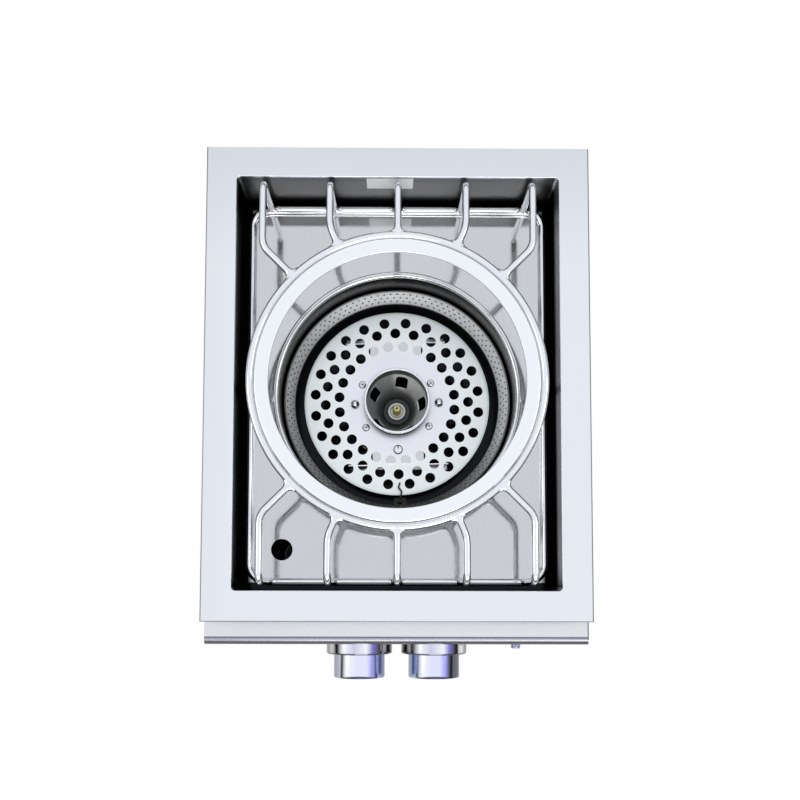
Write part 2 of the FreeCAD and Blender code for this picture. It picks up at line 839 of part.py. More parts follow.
def make_grate_ring():
    """The rod ring, with four lugs welded inside it that carry the wok ring."""
    ring = doc.addObject("Part::Torus", "grate_ring_rod")
    bind(ring, "Radius1", ring_radius)
    bind(ring, "Radius2", s.ring_rod_radius)
    bind(ring, "Placement.Base.z", ring_z)
    lugs = []
    plate_under = top + s.ring_lift - s.wok_ring_step - s.wok_ring_thickness
    for index in range(4):
        lug = doc.addObject("Part::Box", "ring_lug_%d" % (index + 1))
        bind(lug, "Length", s.lug_reach + s.ring_rod_radius / 2)
        bind(lug, "Width", s.lug_width)
        bind(lug, "Height", s.lug_thickness)
        inner = (ring_radius - s.ring_rod_radius - s.lug_reach).value
        low = (plate_under - s.rest_gap - s.lug_thickness).value
        turn = Rotation(Vector(0, 0, 1), s.lug_turn.value + 90 * index)
        corner = turn.multVec(Vector(inner, -s.lug_width.value / 2, low))
        lug.Placement = Placement(corner, turn)
        lugs.append(lug)
    whole = joined("grate_ring", [ring] + lugs)
    whole.Label = "grate_ring"
    pieces.append(whole)


def make_grate():
    frame = frame_shape()
    ring = ring_rod_shape()
    shape_piece("grate_frame", frame)
    make_grate_ring()
    outer_x = frame_x - s.outer_finger_inset
    plan = [(-outer_x, outer_bend_y, s.outer_turn),
            (-s.middle_finger_x, middle_bend_y, s.middle_turn), (as_size(0), None, None),
            (s.middle_finger_x, middle_bend_y, s.middle_turn),
            (outer_x, outer_bend_y, s.outer_turn)]
    for label, way in (("rear_fingers", 1), ("front_fingers", -1)):
        fingers = []
        for x, bend_y, turn in plan:
            points = finger_points(x, way, bend_y)
            if bend_y is None:
                finger = bent_rod(points, s.finger_bend.value, s.finger_radius.value)
            else:
                finger = bent_finger(points, turn.value)
            fingers.append(finger.cut(frame).cut(ring))
        shape_piece(label, Part.makeCompound(fingers))
    posts = []
    for side in (-1, 1):
        low = at(side * frame_x, 0, frame_z)
        high = at(side * ring_radius, 0, ring_z)
        post = Part.makeCylinder(s.finger_radius.value, (high - low).Length, low, high - low)
        posts.append(post.cut(frame).cut(ring))
    shape_piece("side_posts", Part.makeCompound(posts))


def bent_finger(points, turn):
    """A finger with a tight knee at its foot and a wider bend towards the ring."""
    middle = (points[1] + points[2]) * 0.5
    foot = bent_path([points[0], points[1], middle], s.finger_bend.value)
    reach = bent_path([middle, points[2], points[3]], turn)
    path = Part.Wire(foot.Edges + reach.Edges)
    section = round_section(points[0], points[1] - points[0], s.finger_radius.value)
    return path.makePipe(section)


def make_wok_ring():
    body = new_body("wok_ring")
    sketch = new_sketch(body, "XZ_Plane")
    high = top + s.ring_lift - s.wok_ring_step
    low = high - s.wok_ring_thickness
    outline(sketch, [(wok_ring_inner, low, s.wok_ring_edge), (wok_ring_outer, low),
                     (wok_ring_outer, high, s.wok_ring_edge),
                     (wok_ring_inner, high, s.wok_ring_edge)])
    turned(body, sketch, "Revolution", "V_Axis")


# bowl and ring burner

def make_burner_bowl():
    """A spun bowl: a rounded rim that stands on the pan, a wall, and a flat floor ring."""
    body = new_body("burner_bowl")
    sketch = new_sketch(body, "XZ_Plane")
    rim = s.bowl_radius + s.bowl_rim_width
    wall = s.bowl_radius + sheet
    rim_top = pan_top + s.bowl_rim_height
    outer_round = s.bowl_rim_width * 0.42
    inner_round = outer_round - sheet
    outline(sketch, [
        (rim, pan_top), (rim, rim_top, outer_round), (s.bowl_radius, rim_top, outer_round),
        (s.bowl_radius, bowl_floor, s.burner_gap), (s.bowl_floor_hole, bowl_floor),
        (s.bowl_floor_hole, bowl_floor - sheet),
        (wall, bowl_floor - sheet, s.burner_gap + sheet),
        (wall, rim_top - sheet, inner_round), (rim - sheet, rim_top - sheet, inner_round),
        (rim - sheet, pan_top)])
    turned(body, sketch, "Revolution", "V_Axis")
    holes = new_sketch(body, "XY_Plane", bowl_floor + 1)
    half_x = s.throat_width / 2 + sheet + 1
    half_y = s.throat_depth / 2 + sheet + 1
    middle = -burner_middle
    box_outline(holes, -half_x, half_x, middle - half_y, middle + half_y, 0.5)
    circle(holes, s.ceramic_radius + 0.4, s.electrode_x, electrode_y)
    pocket(body, holes, sheet + 2)


def make_ring_burner():
    """A hollow ring whose inward-sloping band is drilled with rows of flame ports."""
    body = new_body("ring_burner")
    sketch = new_sketch(body, "XZ_Plane")
    outer, inner = burner_outer, burner_inner
    outline(sketch, [(outer, bowl_floor), (outer, band_top), (inner, band_low),
                     (inner, bowl_floor)])
    slope = s.band_rise / s.band_width
    lean = sheet * root_of(slope * slope + 1)
    outline(sketch, [(outer - sheet, bowl_floor + sheet),
                     (outer - sheet, band_top - slope * sheet - lean),
                     (inner + sheet, band_low + slope * sheet - lean),
                     (inner + sheet, bowl_floor + sheet)])
    turned(body, sketch, "Revolution", "V_Axis")
    throat = new_sketch(body, "XY_Plane", bowl_floor - 1)
    middle = -burner_middle
    box_outline(throat, -s.throat_width / 2, s.throat_width / 2,
                middle - s.throat_depth / 2, middle + s.throat_depth / 2)
    pocket(body, throat, sheet + 2, backward=True)
    drill_ports(body)


def drill_ports(body):
    """Three staggered rows of ports, square to the band."""
    tilt = math.degrees(math.atan2(s.band_rise.value, s.band_width.value))
    normal = Vector(-math.sin(math.radians(tilt)), 0, math.cos(math.radians(tilt)))
    plane = origin_feature(body, "XY_Plane")
    wall = sheet.value
    for row in range(3):
        share = (s.port_first + (s.port_last - s.port_first) * (row / 2)).value
        radius = burner_inner.value + s.band_width.value * share
        height = band_low.value + s.band_rise.value * share
        start = Vector(radius, 0, height) - normal * (wall * 1.35)
        stagger = Rotation(Vector(0, 0, 1), (row % 2) * 180 / s.port_count.value)
        port = body.newObject("PartDesign::SubtractiveCylinder", "port_row_%d" % (row + 1))
        port.AttachmentSupport = [(plane, "")]
        port.MapMode = "FlatFace"
        lean = stagger.multiply(Rotation(Vector(0, 1, 0), -tilt))
        port.AttachmentOffset = Placement(stagger.multVec(start), lean)
        bind(port, "Radius", s.port_radius)
        bind(port, "Height", sheet * 3)
        polar(body, port, s.port_count)


def make_ring_venturi():
    """Mixing tube with air windows and a waist, and the welded neck up to the ring."""
    body = new_body("ring_venturi", z=venturi_z)
    barrel, waist = s.barrel_radius, s.waist_radius
    barrel_end = mouth_y + s.barrel_length
    waist_start = barrel_end + s.waist_length
    front, back = neck_front, neck_back
    tube = new_sketch(body, "YZ_Plane")
    outline(tube, [(mouth_y, 0), (mouth_y, barrel), (barrel_end, barrel),
                   (waist_start, waist), (front + 1, barrel), (front + 1, 0)])
    turned(body, tube, "Revolution", "H_Axis")
    block = new_sketch(body, "XY_Plane", -s.neck_down)
    box_outline(block, -s.neck_half_width, s.neck_half_width, front, back)
    pad(body, block, s.neck_down + s.neck_up)
    middle = -burner_middle
    rise = bowl_floor - venturi_z
    neck_loft(body, "AdditiveLoft", 0, middle, rise)
    neck_loft(body, "SubtractiveLoft", 1, middle, rise)
    chamber = new_sketch(body, "XY_Plane", s.neck_up)
    box_outline(chamber, sheet - s.neck_half_width, s.neck_half_width - sheet,
                front + sheet, back - sheet)
    pocket(body, chamber, s.neck_down + s.neck_up - sheet)
    bore = new_sketch(body, "YZ_Plane")
    outline(bore, [(mouth_y + sheet, 0), (mouth_y + sheet, barrel - sheet),
                   (barrel_end, barrel - sheet), (waist_start, waist - sheet),
                   (front + 4, barrel - sheet), (front + 4, 0)])
    turned(body, bore, "Groove", "H_Axis")
    jet_hole = new_sketch(body, "XZ_Plane", -mouth_y - 3)
    circle(jet_hole, s.jet_nose_radius + s.mouth_play)
    pocket(body, jet_hole, 6, backward=True)
    cut_windows(body, mouth_y)


def neck_loft(body, kind, inset, middle, rise):
    """Loft from the block's top to the slot under the ring, or its hollow."""
    wall = sheet * inset
    low = new_sketch(body, "XY_Plane", s.neck_up)
    box_outline(low, wall - s.neck_half_width, s.neck_half_width - wall,
                wall + neck_front, neck_back - wall)
    high = new_sketch(body, "XY_Plane", rise)
    half_x = s.throat_width / 2 + sheet - wall
    half_y = s.throat_depth / 2 + sheet - wall
    box_outline(high, -half_x, half_x, middle - half_y, middle + half_y)
    loft = body.newObject("PartDesign::" + kind, body.Name + "_" + kind.lower())
    loft.Profile = low
    loft.Sections = [high]
    loft.Ruled = True


def cut_windows(body, start_y):
    """Two air windows, opposite each other, on the left and right of the barrel."""
    window = new_sketch(body, "YZ_Plane")
    low = start_y + s.window_start
    box_outline(window, low, low + s.window_length, -s.window_height / 2,
                s.window_height / 2, 2)
    pocket(body, window, s.barrel_radius * 4, both_ways=True)


def make_air_shutter():
    """A sleeve that turns on the barrel and closes the air windows."""
    body = new_body("air_shutter", z=venturi_z)
    start = mouth_y + s.shutter_start
    end = start + s.shutter_length
    inner = s.barrel_radius + s.shutter_play
    outer = inner + s.shutter_wall
    sleeve = new_sketch(body, "YZ_Plane")
    outline(sleeve, [(start, inner), (start, outer), (end, outer), (end, inner)])
    turned(body, sleeve, "Revolution", "H_Axis")
    cut_windows(body, mouth_y)
    tab = new_sketch(body, "XY_Plane", inner + s.shutter_wall / 2)
    box_outline(tab, -s.shutter_tab / 2, s.shutter_tab / 2, end - 2 * s.shutter_wall,
                end - s.shutter_wall)
    pad(body, tab, s.shutter_tab)


# baffle disc, brackets, cup and their fasteners

def make_baffle_disc():
    """A flat disc with three rings of holes that circle the centre cup."""
    body = new_body("baffle_disc", turn=s.disc_turn)
    plate = new_sketch(body, "XY_Plane", disc_under)
    circle(plate, disc_radius)
    circle(plate, disc_bore)
    pad(body, plate, s.disc_thickness)
    shanks = new_sketch(body, "XY_Plane", disc_top)
    for angle, ring, radius in shank_places():
        x, y = polar_place(ring, angle)
        circle(shanks, radius + s.screw_play, x, y)
    pocket(body, shanks, s.disc_thickness + 1)
    half_step = 180 / s.disc_hole_count.value
    for ring, turn in ((inner_hole_ring, half_step), (middle_hole_ring, 0),
                       (outer_hole_ring, half_step)):
        hole = new_sketch(body, "XY_Plane", disc_top, turn)
        circle(hole, s.disc_hole_radius, ring)
        polar(body, pocket(body, hole, s.disc_thickness + 1), s.disc_hole_count)


def polar_place(ring, angle):
    """x and y on a ring at an angle from +X, both Sizes."""
    turn = angle if isinstance(angle, Size) else as_size(angle)
    x = Size(ring.value * math.cos(math.radians(turn.value)),
             "(%s * cos(%s))" % (ring.text, turn.text))
    y = Size(ring.value * math.sin(math.radians(turn.value)),
             "(%s * sin(%s))" % (ring.text, turn.text))
    return x, y


def screw_angles():
    return [s.rear_screw_angle, 180 - s.rear_screw_angle,
            180 + s.front_screw_angle, 360 - s.front_screw_angle]


def shank_places():
    """Angle, ring and shank radius of everything that passes through the disc."""
    places = [(angle, screw_ring, s.screw_radius) for angle in screw_angles()]
    places += [(as_size(angle), dome_pin_ring, s.dome_pin_shank) for angle in (0, 180)]
    places.append((as_size(270), peg_y, s.peg_shank))
    return places


def make_disc_bracket(label, way):
    """A folded bracket: foot on the bowl's floor, upright, and tab under the disc."""
    body = new_body(label, turn=s.disc_turn)
    near, far = way * (bracket_y - sheet), way * bracket_y
    upright = new_sketch(body, "XY_Plane", bowl_floor)
    box_outline(upright, -s.bracket_half_width, s.bracket_half_width, near, far)
    pad(body, upright, disc_under - bowl_floor)
    tab = new_sketch(body, "XY_Plane", disc_under - sheet)
    box_outline(tab, -s.tab_half_width, s.tab_half_width, way * tab_inner, far)
    if way < 0:
        circle(tab, s.peg_shank + s.screw_play, 0, way * peg_y)
    pad(body, tab, sheet)
    foot = new_sketch(body, "XY_Plane", bowl_floor)
    box_outline(foot, -s.bracket_half_width, s.bracket_half_width, near,
                far + way * s.foot_width)
    pad(body, foot, sheet)


def make_center_cup():
    """A spun cup: beaded collar above the disc, flange below it, slotted conical wall."""
    body = new_body("center_cup", turn=s.cup_turn)
    sketch = new_sketch(body, "XZ_Plane")
    inner = s.cup_radius
    outer = inner + sheet
    bead = outer + s.collar_bead
    collar_top = disc_top + s.collar_height
    taper = disc_under - s.cup_taper_start
    outline(sketch, [
        (inner, collar_top, 0.5), (inner, taper, 6), (s.cup_floor_radius, cup_floor, 4),
        (s.holder_shank + s.screw_play, cup_floor),
        (s.holder_shank + s.screw_play, cup_floor - sheet),
        (s.cup_floor_radius + sheet, cup_floor - sheet, 4 + sheet),
        (outer, taper, 6 + sheet), (outer, collar_top - 2 * s.collar_bead),
        (bead, collar_top - 2 * s.collar_bead, 0.6), (bead, collar_top, s.collar_bead)])
    turned(body, sketch, "Revolution", "V_Axis")
    slot = new_sketch(body, "YZ_Plane", s.cup_floor_radius)
    middle = top - s.cup_slot_drop - s.cup_slot_height / 2
    box_outline(slot, -s.cup_slot_width / 2, s.cup_slot_width / 2,
                middle - s.cup_slot_height / 2, middle + s.cup_slot_height / 2, 4)
    cut = pocket(body, slot, flange_radius, backward=True)
    polar(body, cut, s.cup_slot_count)
    add_cup_flange(body)


def add_cup_flange(body):
    """The plate welded round the cup that the four screws clamp under the disc."""
    turn = (s.disc_turn - s.cup_turn).value
    plate = new_sketch(body, "XY_Plane", disc_under, turn)
    circle(plate, flange_radius)
    circle(plate, s.cup_radius + sheet / 2)
    pad(body, plate, sheet, backward=True)
    sides = new_sketch(body, "XY_Plane", disc_under, turn)
    reach = flange_radius + 1
    box_outline(sides, -reach, reach, flange_half, reach)
    box_outline(sides, -reach, reach, -reach, -flange_half)
    pocket(body, sides, 2 * sheet)
    shanks = new_sketch(body, "XY_Plane", disc_under, turn)
    for angle, ring, radius in shank_places()[:6]:
        x, y = polar_place(ring, angle)
        circle(shanks, radius + s.screw_play, x, y)
    pocket(body, shanks, 2 * sheet)


def turned_place(ring, angle):
    """A place on the disc, which is turned a little on its axis."""
    return polar_place(ring, angle + s.disc_turn)


def make_disc_fasteners():
    screws, nuts, pins = [], [], []
    clamp = s.disc_thickness + sheet
    for index, angle in enumerate(screw_angles(), 1):
        x, y = turned_place(screw_ring, angle)
        head = round_bar("disc_screw_%d_head" % index, s.screw_head_radius,
                         s.screw_head_height, (x, y, disc_top))
        shank = round_bar("disc_screw_%d_shank" % index, s.screw_radius,
                          clamp + s.disc_nut_height + 1, (x, y, disc_top), "-Z")
        screws.append(joined("disc_screw_%d" % index, [head, shank]))
        nut = doc.addObject("Part::Prism", "disc_nut_%d_blank" % index)
        nut.Polygon = 6
        bind(nut, "Circumradius", s.disc_nut_radius)
        bind(nut, "Height", s.disc_nut_height)
        bind(nut, "Placement.Base.x", x)
        bind(nut, "Placement.Base.y", y)
        bind(nut, "Placement.Base.z", disc_top - clamp - s.disc_nut_height)
        bore = round_bar("disc_nut_%d_bore" % index, s.screw_radius + s.screw_play,
                         s.disc_nut_height * 3, (x, y, disc_top - clamp * 4))
        cut = doc.addObject("Part::Cut", "disc_nut_%d" % index)
        cut.Base = nut
        cut.Tool = bore
        nuts.append(cut)
    for index, angle in enumerate((0, 180), 1):
        x, y = turned_place(dome_pin_ring, as_size(angle))
        collar = round_bar("dome_pin_%d_collar" % index, s.dome_pin_radius,
                           s.dome_pin_radius / 2, (x, y, disc_top))
        dome = doc.addObject("Part::Sphere", "dome_pin_%d_dome" % index)
        bind(dome, "Radius", s.dome_pin_radius)
        dome.Angle1 = 0
        bind(dome, "Placement.Base.x", x)
        bind(dome, "Placement.Base.y", y)
        bind(dome, "Placement.Base.z", disc_top + s.dome_pin_radius / 2)
        shank = round_bar("dome_pin_%d_shank" % index, s.dome_pin_shank, clamp + 1,
                          (x, y, disc_top), "-Z")
        pins.append(joined("dome_pin_%d" % index, [collar, dome, shank]))
    group("disc_screws", screws)
    group("disc_nuts", nuts)
    group("dome_pins", pins)


def make_locating_peg():
    """Round peg with a slotted head that locates the disc on its front bracket."""
    body = new_body("locating_peg", turn=s.disc_turn)
    head = new_sketch(body, "XY_Plane", disc_top)
    circle(head, s.peg_radius, 0, -peg_y)
    pad(body, head, s.peg_height)
    shank = new_sketch(body, "XY_Plane", disc_top)
    circle(shank, s.peg_shank, 0, -peg_y)
    pad(body, shank, s.disc_thickness + sheet + 1, backward=True)
    slot = new_sketch(body, "XY_Plane", disc_top + s.peg_height)
    box_outline(slot, -0.9, 0.9, -peg_y, s.peg_radius + 1 - peg_y)
    pocket(body, slot, s.peg_height / 2)


# centre orifice

def make_orifice_holder():
    """Shank up through the cup's floor, shoulder and gas inlet below it."""
    body = new_body("orifice_holder")
    sketch = new_sketch(body, "XZ_Plane")
    under = cup_floor - sheet
    shank_top = cup_floor + s.socket_height / 2
    outline(sketch, [(s.gas_bore, shank_top), (s.holder_shank, shank_top),
                     (s.holder_shank, under), (s.holder_radius, under),
                     (s.holder_radius, under - s.holder_length, 1),
                     (s.gas_bore, under - s.holder_length)])
    turned(body, sketch, "Revolution", "V_Axis")


def make_orifice_socket():
    body = new_body("orifice_socket")
    sketch = new_sketch(body, "XZ_Plane")
    outline(sketch, [(s.holder_shank + s.screw_play, cup_floor), (s.socket_radius, cup_floor),
                     (s.socket_radius, cup_floor + s.socket_height, 0.8),
                     (s.holder_shank + 1.4, cup_floor + s.socket_height, 0.8),
                     (s.holder_shank + s.screw_play, cup_floor + s.socket_height - 1.4)])
    turned(body, sketch, "Revolution", "V_Axis")


def make_center_orifice():
    body = new_body("center_orifice")
    sketch = new_sketch(body, "XZ_Plane")
    base = cup_floor + s.socket_height / 2
    outline(sketch, [(s.jet_bore, base), (s.jet_radius, base),
                     (s.jet_radius, base + s.jet_height, 1.2),
                     (s.jet_bore, base + s.jet_height)])
    turned(body, sketch, "Revolution", "V_Axis")


# gas train

def make_manifold_pipe():
    """Square tube under both valves, closed at its left end."""
    body = new_body("manifold_pipe", y=manifold_y, z=manifold_z)
    half, wall = s.manifold_half, s.manifold_wall
    section = new_sketch(body, "YZ_Plane", -s.manifold_left)
    box_outline(section, -half, half, -half, half, 2)
    pad(body, section, s.manifold_left + manifold_right)
    hollow = new_sketch(body, "YZ_Plane", manifold_right)
    box_outline(hollow, wall - half, half - wall, wall - half, half - wall)
    pocket(body, hollow, s.manifold_left + manifold_right - wall)
    ports = new_sketch(body, "XY_Plane", half + 1)
    for side in (-1, 1):
        circle(ports, s.gas_bore, side * knob_x)
    pocket(body, ports, wall + 2)


def make_inlet_elbow():
    body = new_body("inlet_elbow", x=supply_x, y=manifold_y, z=manifold_z)
    half = s.manifold_half
    block = new_sketch(body, "XY_Plane", -half)
    box_outline(block, -half, half, -half, half)
    pad(body, block, 2 * half)
    across = new_sketch(body, "YZ_Plane", -half - 1)
    circle(across, s.supply_radius - s.supply_wall)
    pocket(body, across, half + 1, backward=True)
    along = new_sketch(body, "XZ_Plane", -half - 1)
    circle(along, s.supply_radius - s.supply_wall)
    pocket(body, along, half + 1, backward=True)


def make_supply_pipe():
    body = new_body("supply_pipe", x=supply_x, z=manifold_z)
    start = manifold_y + s.manifold_half
    end = rear_inner - s.inlet_hex_length
    section = new_sketch(body, "XZ_Plane", -end)
    circle(section, s.supply_radius)
    circle(section, s.supply_radius - s.supply_wall)
    pad(body, section, end - start)


def hexagon(sketch, radius):
    flat = radius * 0.866025
    outline(sketch, [(radius, 0), (radius / 2, flat), (-radius / 2, flat),
                     (-radius, 0), (-radius / 2, -flat), (radius / 2, -flat)])


def make_gas_inlet():
    """Bulkhead fitting: hexagon inside the rear panel, shank through it, flare end."""
    body = new_body("gas_inlet", x=supply_x, z=manifold_z)
    collar = new_sketch(body, "XZ_Plane", -rear_inner)
    hexagon(collar, s.inlet_hex_radius)
    pad(body, collar, s.inlet_hex_length)
    thread = new_sketch(body, "YZ_Plane")
    end = rear_inner + s.inlet_thread_length
    step = rear_inner + s.inlet_shank_length
    outline(thread, [(rear_inner - 1, 0), (rear_inner - 1, s.inlet_shank_radius),
                     (step, s.inlet_shank_radius), (step, s.inlet_thread_radius),
                     (end - 2.2, s.inlet_thread_radius), (end, s.supply_radius), (end, 0)])
    turned(body, thread, "Revolution", "H_Axis")
    bore = new_sketch(body, "XZ_Plane", -end - 1)
    circle(bore, s.supply_radius - s.supply_wall)
    pocket(body, bore, s.inlet_thread_length + s.inlet_hex_length + 2, backward=True)


def make_inlet_nut():
    body = new_body("inlet_nut", x=supply_x, z=manifold_z)
    start = rear_inner + sheet
    blank = new_sketch(body, "XZ_Plane", -start)
    hexagon(blank, s.inlet_hex_radius)
    circle(blank, s.inlet_shank_radius + s.inlet_play)
    pad(body, blank, s.inlet_nut_height, backward=True)


def make_center_feed_tube():
    """From the left valve down behind the front wall, back, across and up."""
    start_y = face_y + s.valve_start + s.valve_length + s.outlet_length
    drop_y = feed_y
    run_z = cup_floor - sheet - s.holder_length - s.center_feed_sag
    outlet_z = knob_z - s.outlet_drop
    points = [at(-knob_x, start_y, outlet_z), at(-knob_x, drop_y, outlet_z),
              at(-knob_x, drop_y, run_z), at(-knob_x, 0, run_z), at(0, 0, run_z),
              at(0, 0, cup_floor - sheet - s.holder_length)]
    shape_piece("center_feed_tube", feed_tube(points))


def make_ring_feed_tube():
    """From the right valve down and across to the block in front of the venturi."""
    start_y = face_y + s.valve_start + s.valve_length + s.outlet_length
    drop_y = feed_y
    outlet_z = knob_z - s.outlet_drop
    block_top = venturi_z + s.jet_block_half
    points = [at(knob_x, start_y, outlet_z), at(knob_x, drop_y, outlet_z),
              at(knob_x, drop_y, outlet_z - s.ring_feed_drop),
              at(0, drop_y, block_top + s.ring_feed_rise),
              at(0, drop_y, block_top)]
    shape_piece("ring_feed_tube", feed_tube(points))


def feed_tube(points):
    first = (points[1] - points[0]).Length
    second = (points[2] - points[1]).Length
    bend = min(s.feed_bend.value, first * 0.9, second * 0.45)
    return bent_tube(points, bend, s.feed_radius.value, s.feed_wall.value)


def make_ring_orifice_block():
    body = new_body("ring_orifice_block", z=venturi_z)
    block = new_sketch(body, "XZ_Plane", -front_inner)
    half = s.jet_block_half
    box_outline(block, -half, half, -half, half, 1.5)
    pad(body, block, s.jet_block_depth, backward=True)
    inlet = new_sketch(body, "XY_Plane", half + 1)
    circle(inlet, s.gas_bore, 0, feed_y)
    pocket(body, inlet, half + 1)
    outlet = new_sketch(body, "XZ_Plane", -jet_face - 1)
    circle(outlet, s.gas_bore)
    pocket(body, outlet, s.jet_block_depth - 3, backward=True)


def make_ring_orifice():
    body = new_body("ring_orifice", z=venturi_z)
    flats = new_sketch(body, "XZ_Plane", -jet_face)
    hexagon(flats, s.jet_hex_radius)
    pad(body, flats, s.jet_hex_length, backward=True)
    nose = new_sketch(body, "YZ_Plane")
    start = jet_face + s.jet_hex_length
    end = start + s.jet_nose_length
    outline(nose, [(start - 1, 0), (start - 1, s.jet_nose_radius),
                   (end - 2, s.jet_nose_radius), (end, s.jet_nose_radius / 2), (end, 0)])
    turned(body, nose, "Revolution", "H_Axis")
    bore = new_sketch(body, "XZ_Plane", -end - 1)
    circle(bore, s.jet_bore)
    pocket(body, bore, s.jet_hex_length + s.jet_nose_length + 2, backward=True)


def make_valve(label, side):
    """Valve body: block on the manifold, nose behind the panel, outlet at the back."""
    body = new_body(label, x=side * knob_x, y=face_y, z=knob_z)
    half = s.valve_half_width
    end = s.valve_start + s.valve_length
    block = new_sketch(body, "XZ_Plane", -s.valve_start)
    box_outline(block, -half, half, -s.valve_down, s.valve_up, 2)
    pad(body, block, s.valve_length, backward=True)
    nose = new_sketch(body, "XZ_Plane", -sheet)
    circle(nose, s.nose_radius)
    pad(body, nose, s.valve_start - sheet + 1, backward=True)
    spigot = new_sketch(body, "XZ_Plane", -end + 1)
    circle(spigot, s.outlet_radius, 0, -s.outlet_drop)
    pad(body, spigot, s.outlet_length + 1, backward=True)
    bore = new_sketch(body, "XZ_Plane", 1 - sheet)
    circle(bore, s.plug_radius + s.plug_play)
    pocket(body, bore, s.plug_length + 2)
    outlet = new_sketch(body, "XZ_Plane", -end - s.outlet_length - 1)
    circle(outlet, s.gas_bore, 0, -s.outlet_drop)
    pocket(body, outlet, s.outlet_length + end - s.plug_length + 3, backward=True)
    inlet = new_sketch(body, "XY_Plane", -s.valve_down - 1)
    circle(inlet, s.gas_bore, 0, manifold_y - face_y)
    pocket(body, inlet, s.valve_down + 1, backward=True)


def make_valve_plug(label, side):
    """The brass plug that turns in the valve, keyed to the stem's flat."""
    body = new_body(label, x=side * knob_x, y=face_y, z=knob_z)
    start = sheet + 0.5
    blank = new_sketch(body, "XZ_Plane", -start)
    circle(blank, s.plug_radius)
    pad(body, blank, s.plug_length - 0.5, backward=True)
    key = new_sketch(body, "XZ_Plane", 1 - start)
    flat_round(key, s.stem_radius, s.stem_flat)
    pocket(body, key, s.stem_reach + s.knob_travel + 1.5 - start + 1)


def make_stem(label, side):
    body = new_body(label, x=side * knob_x, y=face_y, z=knob_z)
    start = -(s.knob_proud - s.knob_cap - 1)
    section = new_sketch(body, "XZ_Plane", -start)
    flat_round(section, s.stem_radius - s.stem_play, s.stem_flat - s.stem_play)
    pad(body, section, s.stem_reach - start, backward=True)


# control panel and controls

def make_control_panel():
    """Folded front panel with a rounded top edge, open at the back to the valves."""
    body = new_body("control_panel")
    back = -casing_y
    profile = new_sketch(body, "YZ_Plane")
    outline(profile, [(back, control_low), (back, control_top),
                      (face_y, control_top, s.control_round),
                      (face_y, control_low, s.control_lower_round)])
    pad(body, profile, s.trim_width, both_ways=True)
    cavity = new_sketch(body, "YZ_Plane")
    outline(cavity, [(back - sheet, control_low + sheet), (back - sheet, control_top - sheet),
                     (face_y + sheet, control_top - sheet, s.control_round - sheet),
                     (face_y + sheet, control_low + sheet, s.control_lower_round - sheet)])
    pocket(body, cavity, s.trim_width - 2 * sheet, both_ways=True)
    window = new_sketch(body, "XZ_Plane", casing_y + 2 * sheet)
    half = casing_x - s.panel_flange
    box_outline(window, -half, half, control_low + sheet, control_top - sheet)
    pocket(body, window, 4 * sheet)
    holes = new_sketch(body, "XZ_Plane", 1 - face_y)
    for side in (-1, 1):
        circle(holes, s.stem_hole, side * knob_x, knob_z)
    circle(holes, s.collar_radius - s.collar_wall, button_x, knob_z)
    pocket(body, holes, sheet + 2)


def make_bezel(label, side):
    body = new_body(label, x=side * knob_x, y=face_y, z=knob_z)
    sketch = new_sketch(body, "YZ_Plane")
    inner = bezel_inner
    outline(sketch, [(0, s.stem_hole), (0, bezel_radius),
                     (-s.bezel_proud, bezel_radius, s.bezel_round),
                     (-s.bezel_proud, inner), (-s.bezel_base, inner),
                     (-s.bezel_base, s.stem_hole)])
    turned(body, sketch, "Revolution", "H_Axis")


def make_light_ring(label, side):
    body = new_body(label, x=side * knob_x, y=face_y, z=knob_z)
    sketch = new_sketch(body, "YZ_Plane")
    outer = bezel_inner
    inner = s.knob_radius + s.knob_play
    front = s.light_ring_setback - s.bezel_proud
    outline(sketch, [(-s.bezel_base, inner), (-s.bezel_base, outer), (front, outer),
                     (front, inner)])
    turned(body, sketch, "Revolution", "H_Axis")


def make_knob(label, side):
    """Hollow barrel knob: domed edge, hub with a keyed bore, pointer groove."""
    body = new_body(label, x=side * knob_x, y=face_y, z=knob_z)
    sketch = new_sketch(body, "YZ_Plane")
    front = -s.knob_proud
    inside = front + s.knob_cap
    skirt = s.knob_radius - s.knob_wall
    outline(sketch, [(front, 0), (front, s.knob_radius, s.knob_edge),
                     (-s.knob_skirt, s.knob_radius), (-s.knob_skirt, skirt),
                     (inside, skirt, 1.5), (inside, s.hub_radius),
                     (-s.hub_end, s.hub_radius), (-s.hub_end, 0)])
    turned(body, sketch, "Revolution", "H_Axis")
    key = new_sketch(body, "XZ_Plane", s.hub_end - 1)
    flat_round(key, s.stem_radius, s.stem_flat)
    pocket(body, key, s.knob_proud - s.knob_cap - s.hub_end + 1, backward=True)
    pointer = new_sketch(body, "XZ_Plane", s.knob_proud + 1)
    high = s.knob_radius - s.knob_edge * 2
    box_outline(pointer, -s.pointer_width / 2, s.pointer_width / 2,
                high - s.pointer_length, high)
    pocket(body, pointer, s.pointer_depth + 1)


def make_button_collar():
    """Chrome ring in front of the panel with a threaded sleeve behind it."""
    body = new_body("button_collar", x=button_x, y=face_y, z=knob_z)
    sketch = new_sketch(body, "YZ_Plane")
    bore = s.button_radius + s.button_play
    sleeve = s.collar_radius - s.collar_wall - s.screw_play
    outline(sketch, [(-s.collar_proud, bore), (-s.collar_proud, s.collar_radius, 1),
                     (0, s.collar_radius), (0, sleeve), (s.collar_depth, sleeve),
                     (s.collar_depth, bore)])
    turned(body, sketch, "Revolution", "H_Axis")


def make_button_nut():
    body = new_body("button_nut", x=button_x, y=face_y, z=knob_z)
    blank = new_sketch(body, "XZ_Plane", -sheet)
    hexagon(blank, s.button_nut_radius)
    circle(blank, s.collar_radius - s.collar_wall)
    pad(body, blank, s.button_nut_height, backward=True)


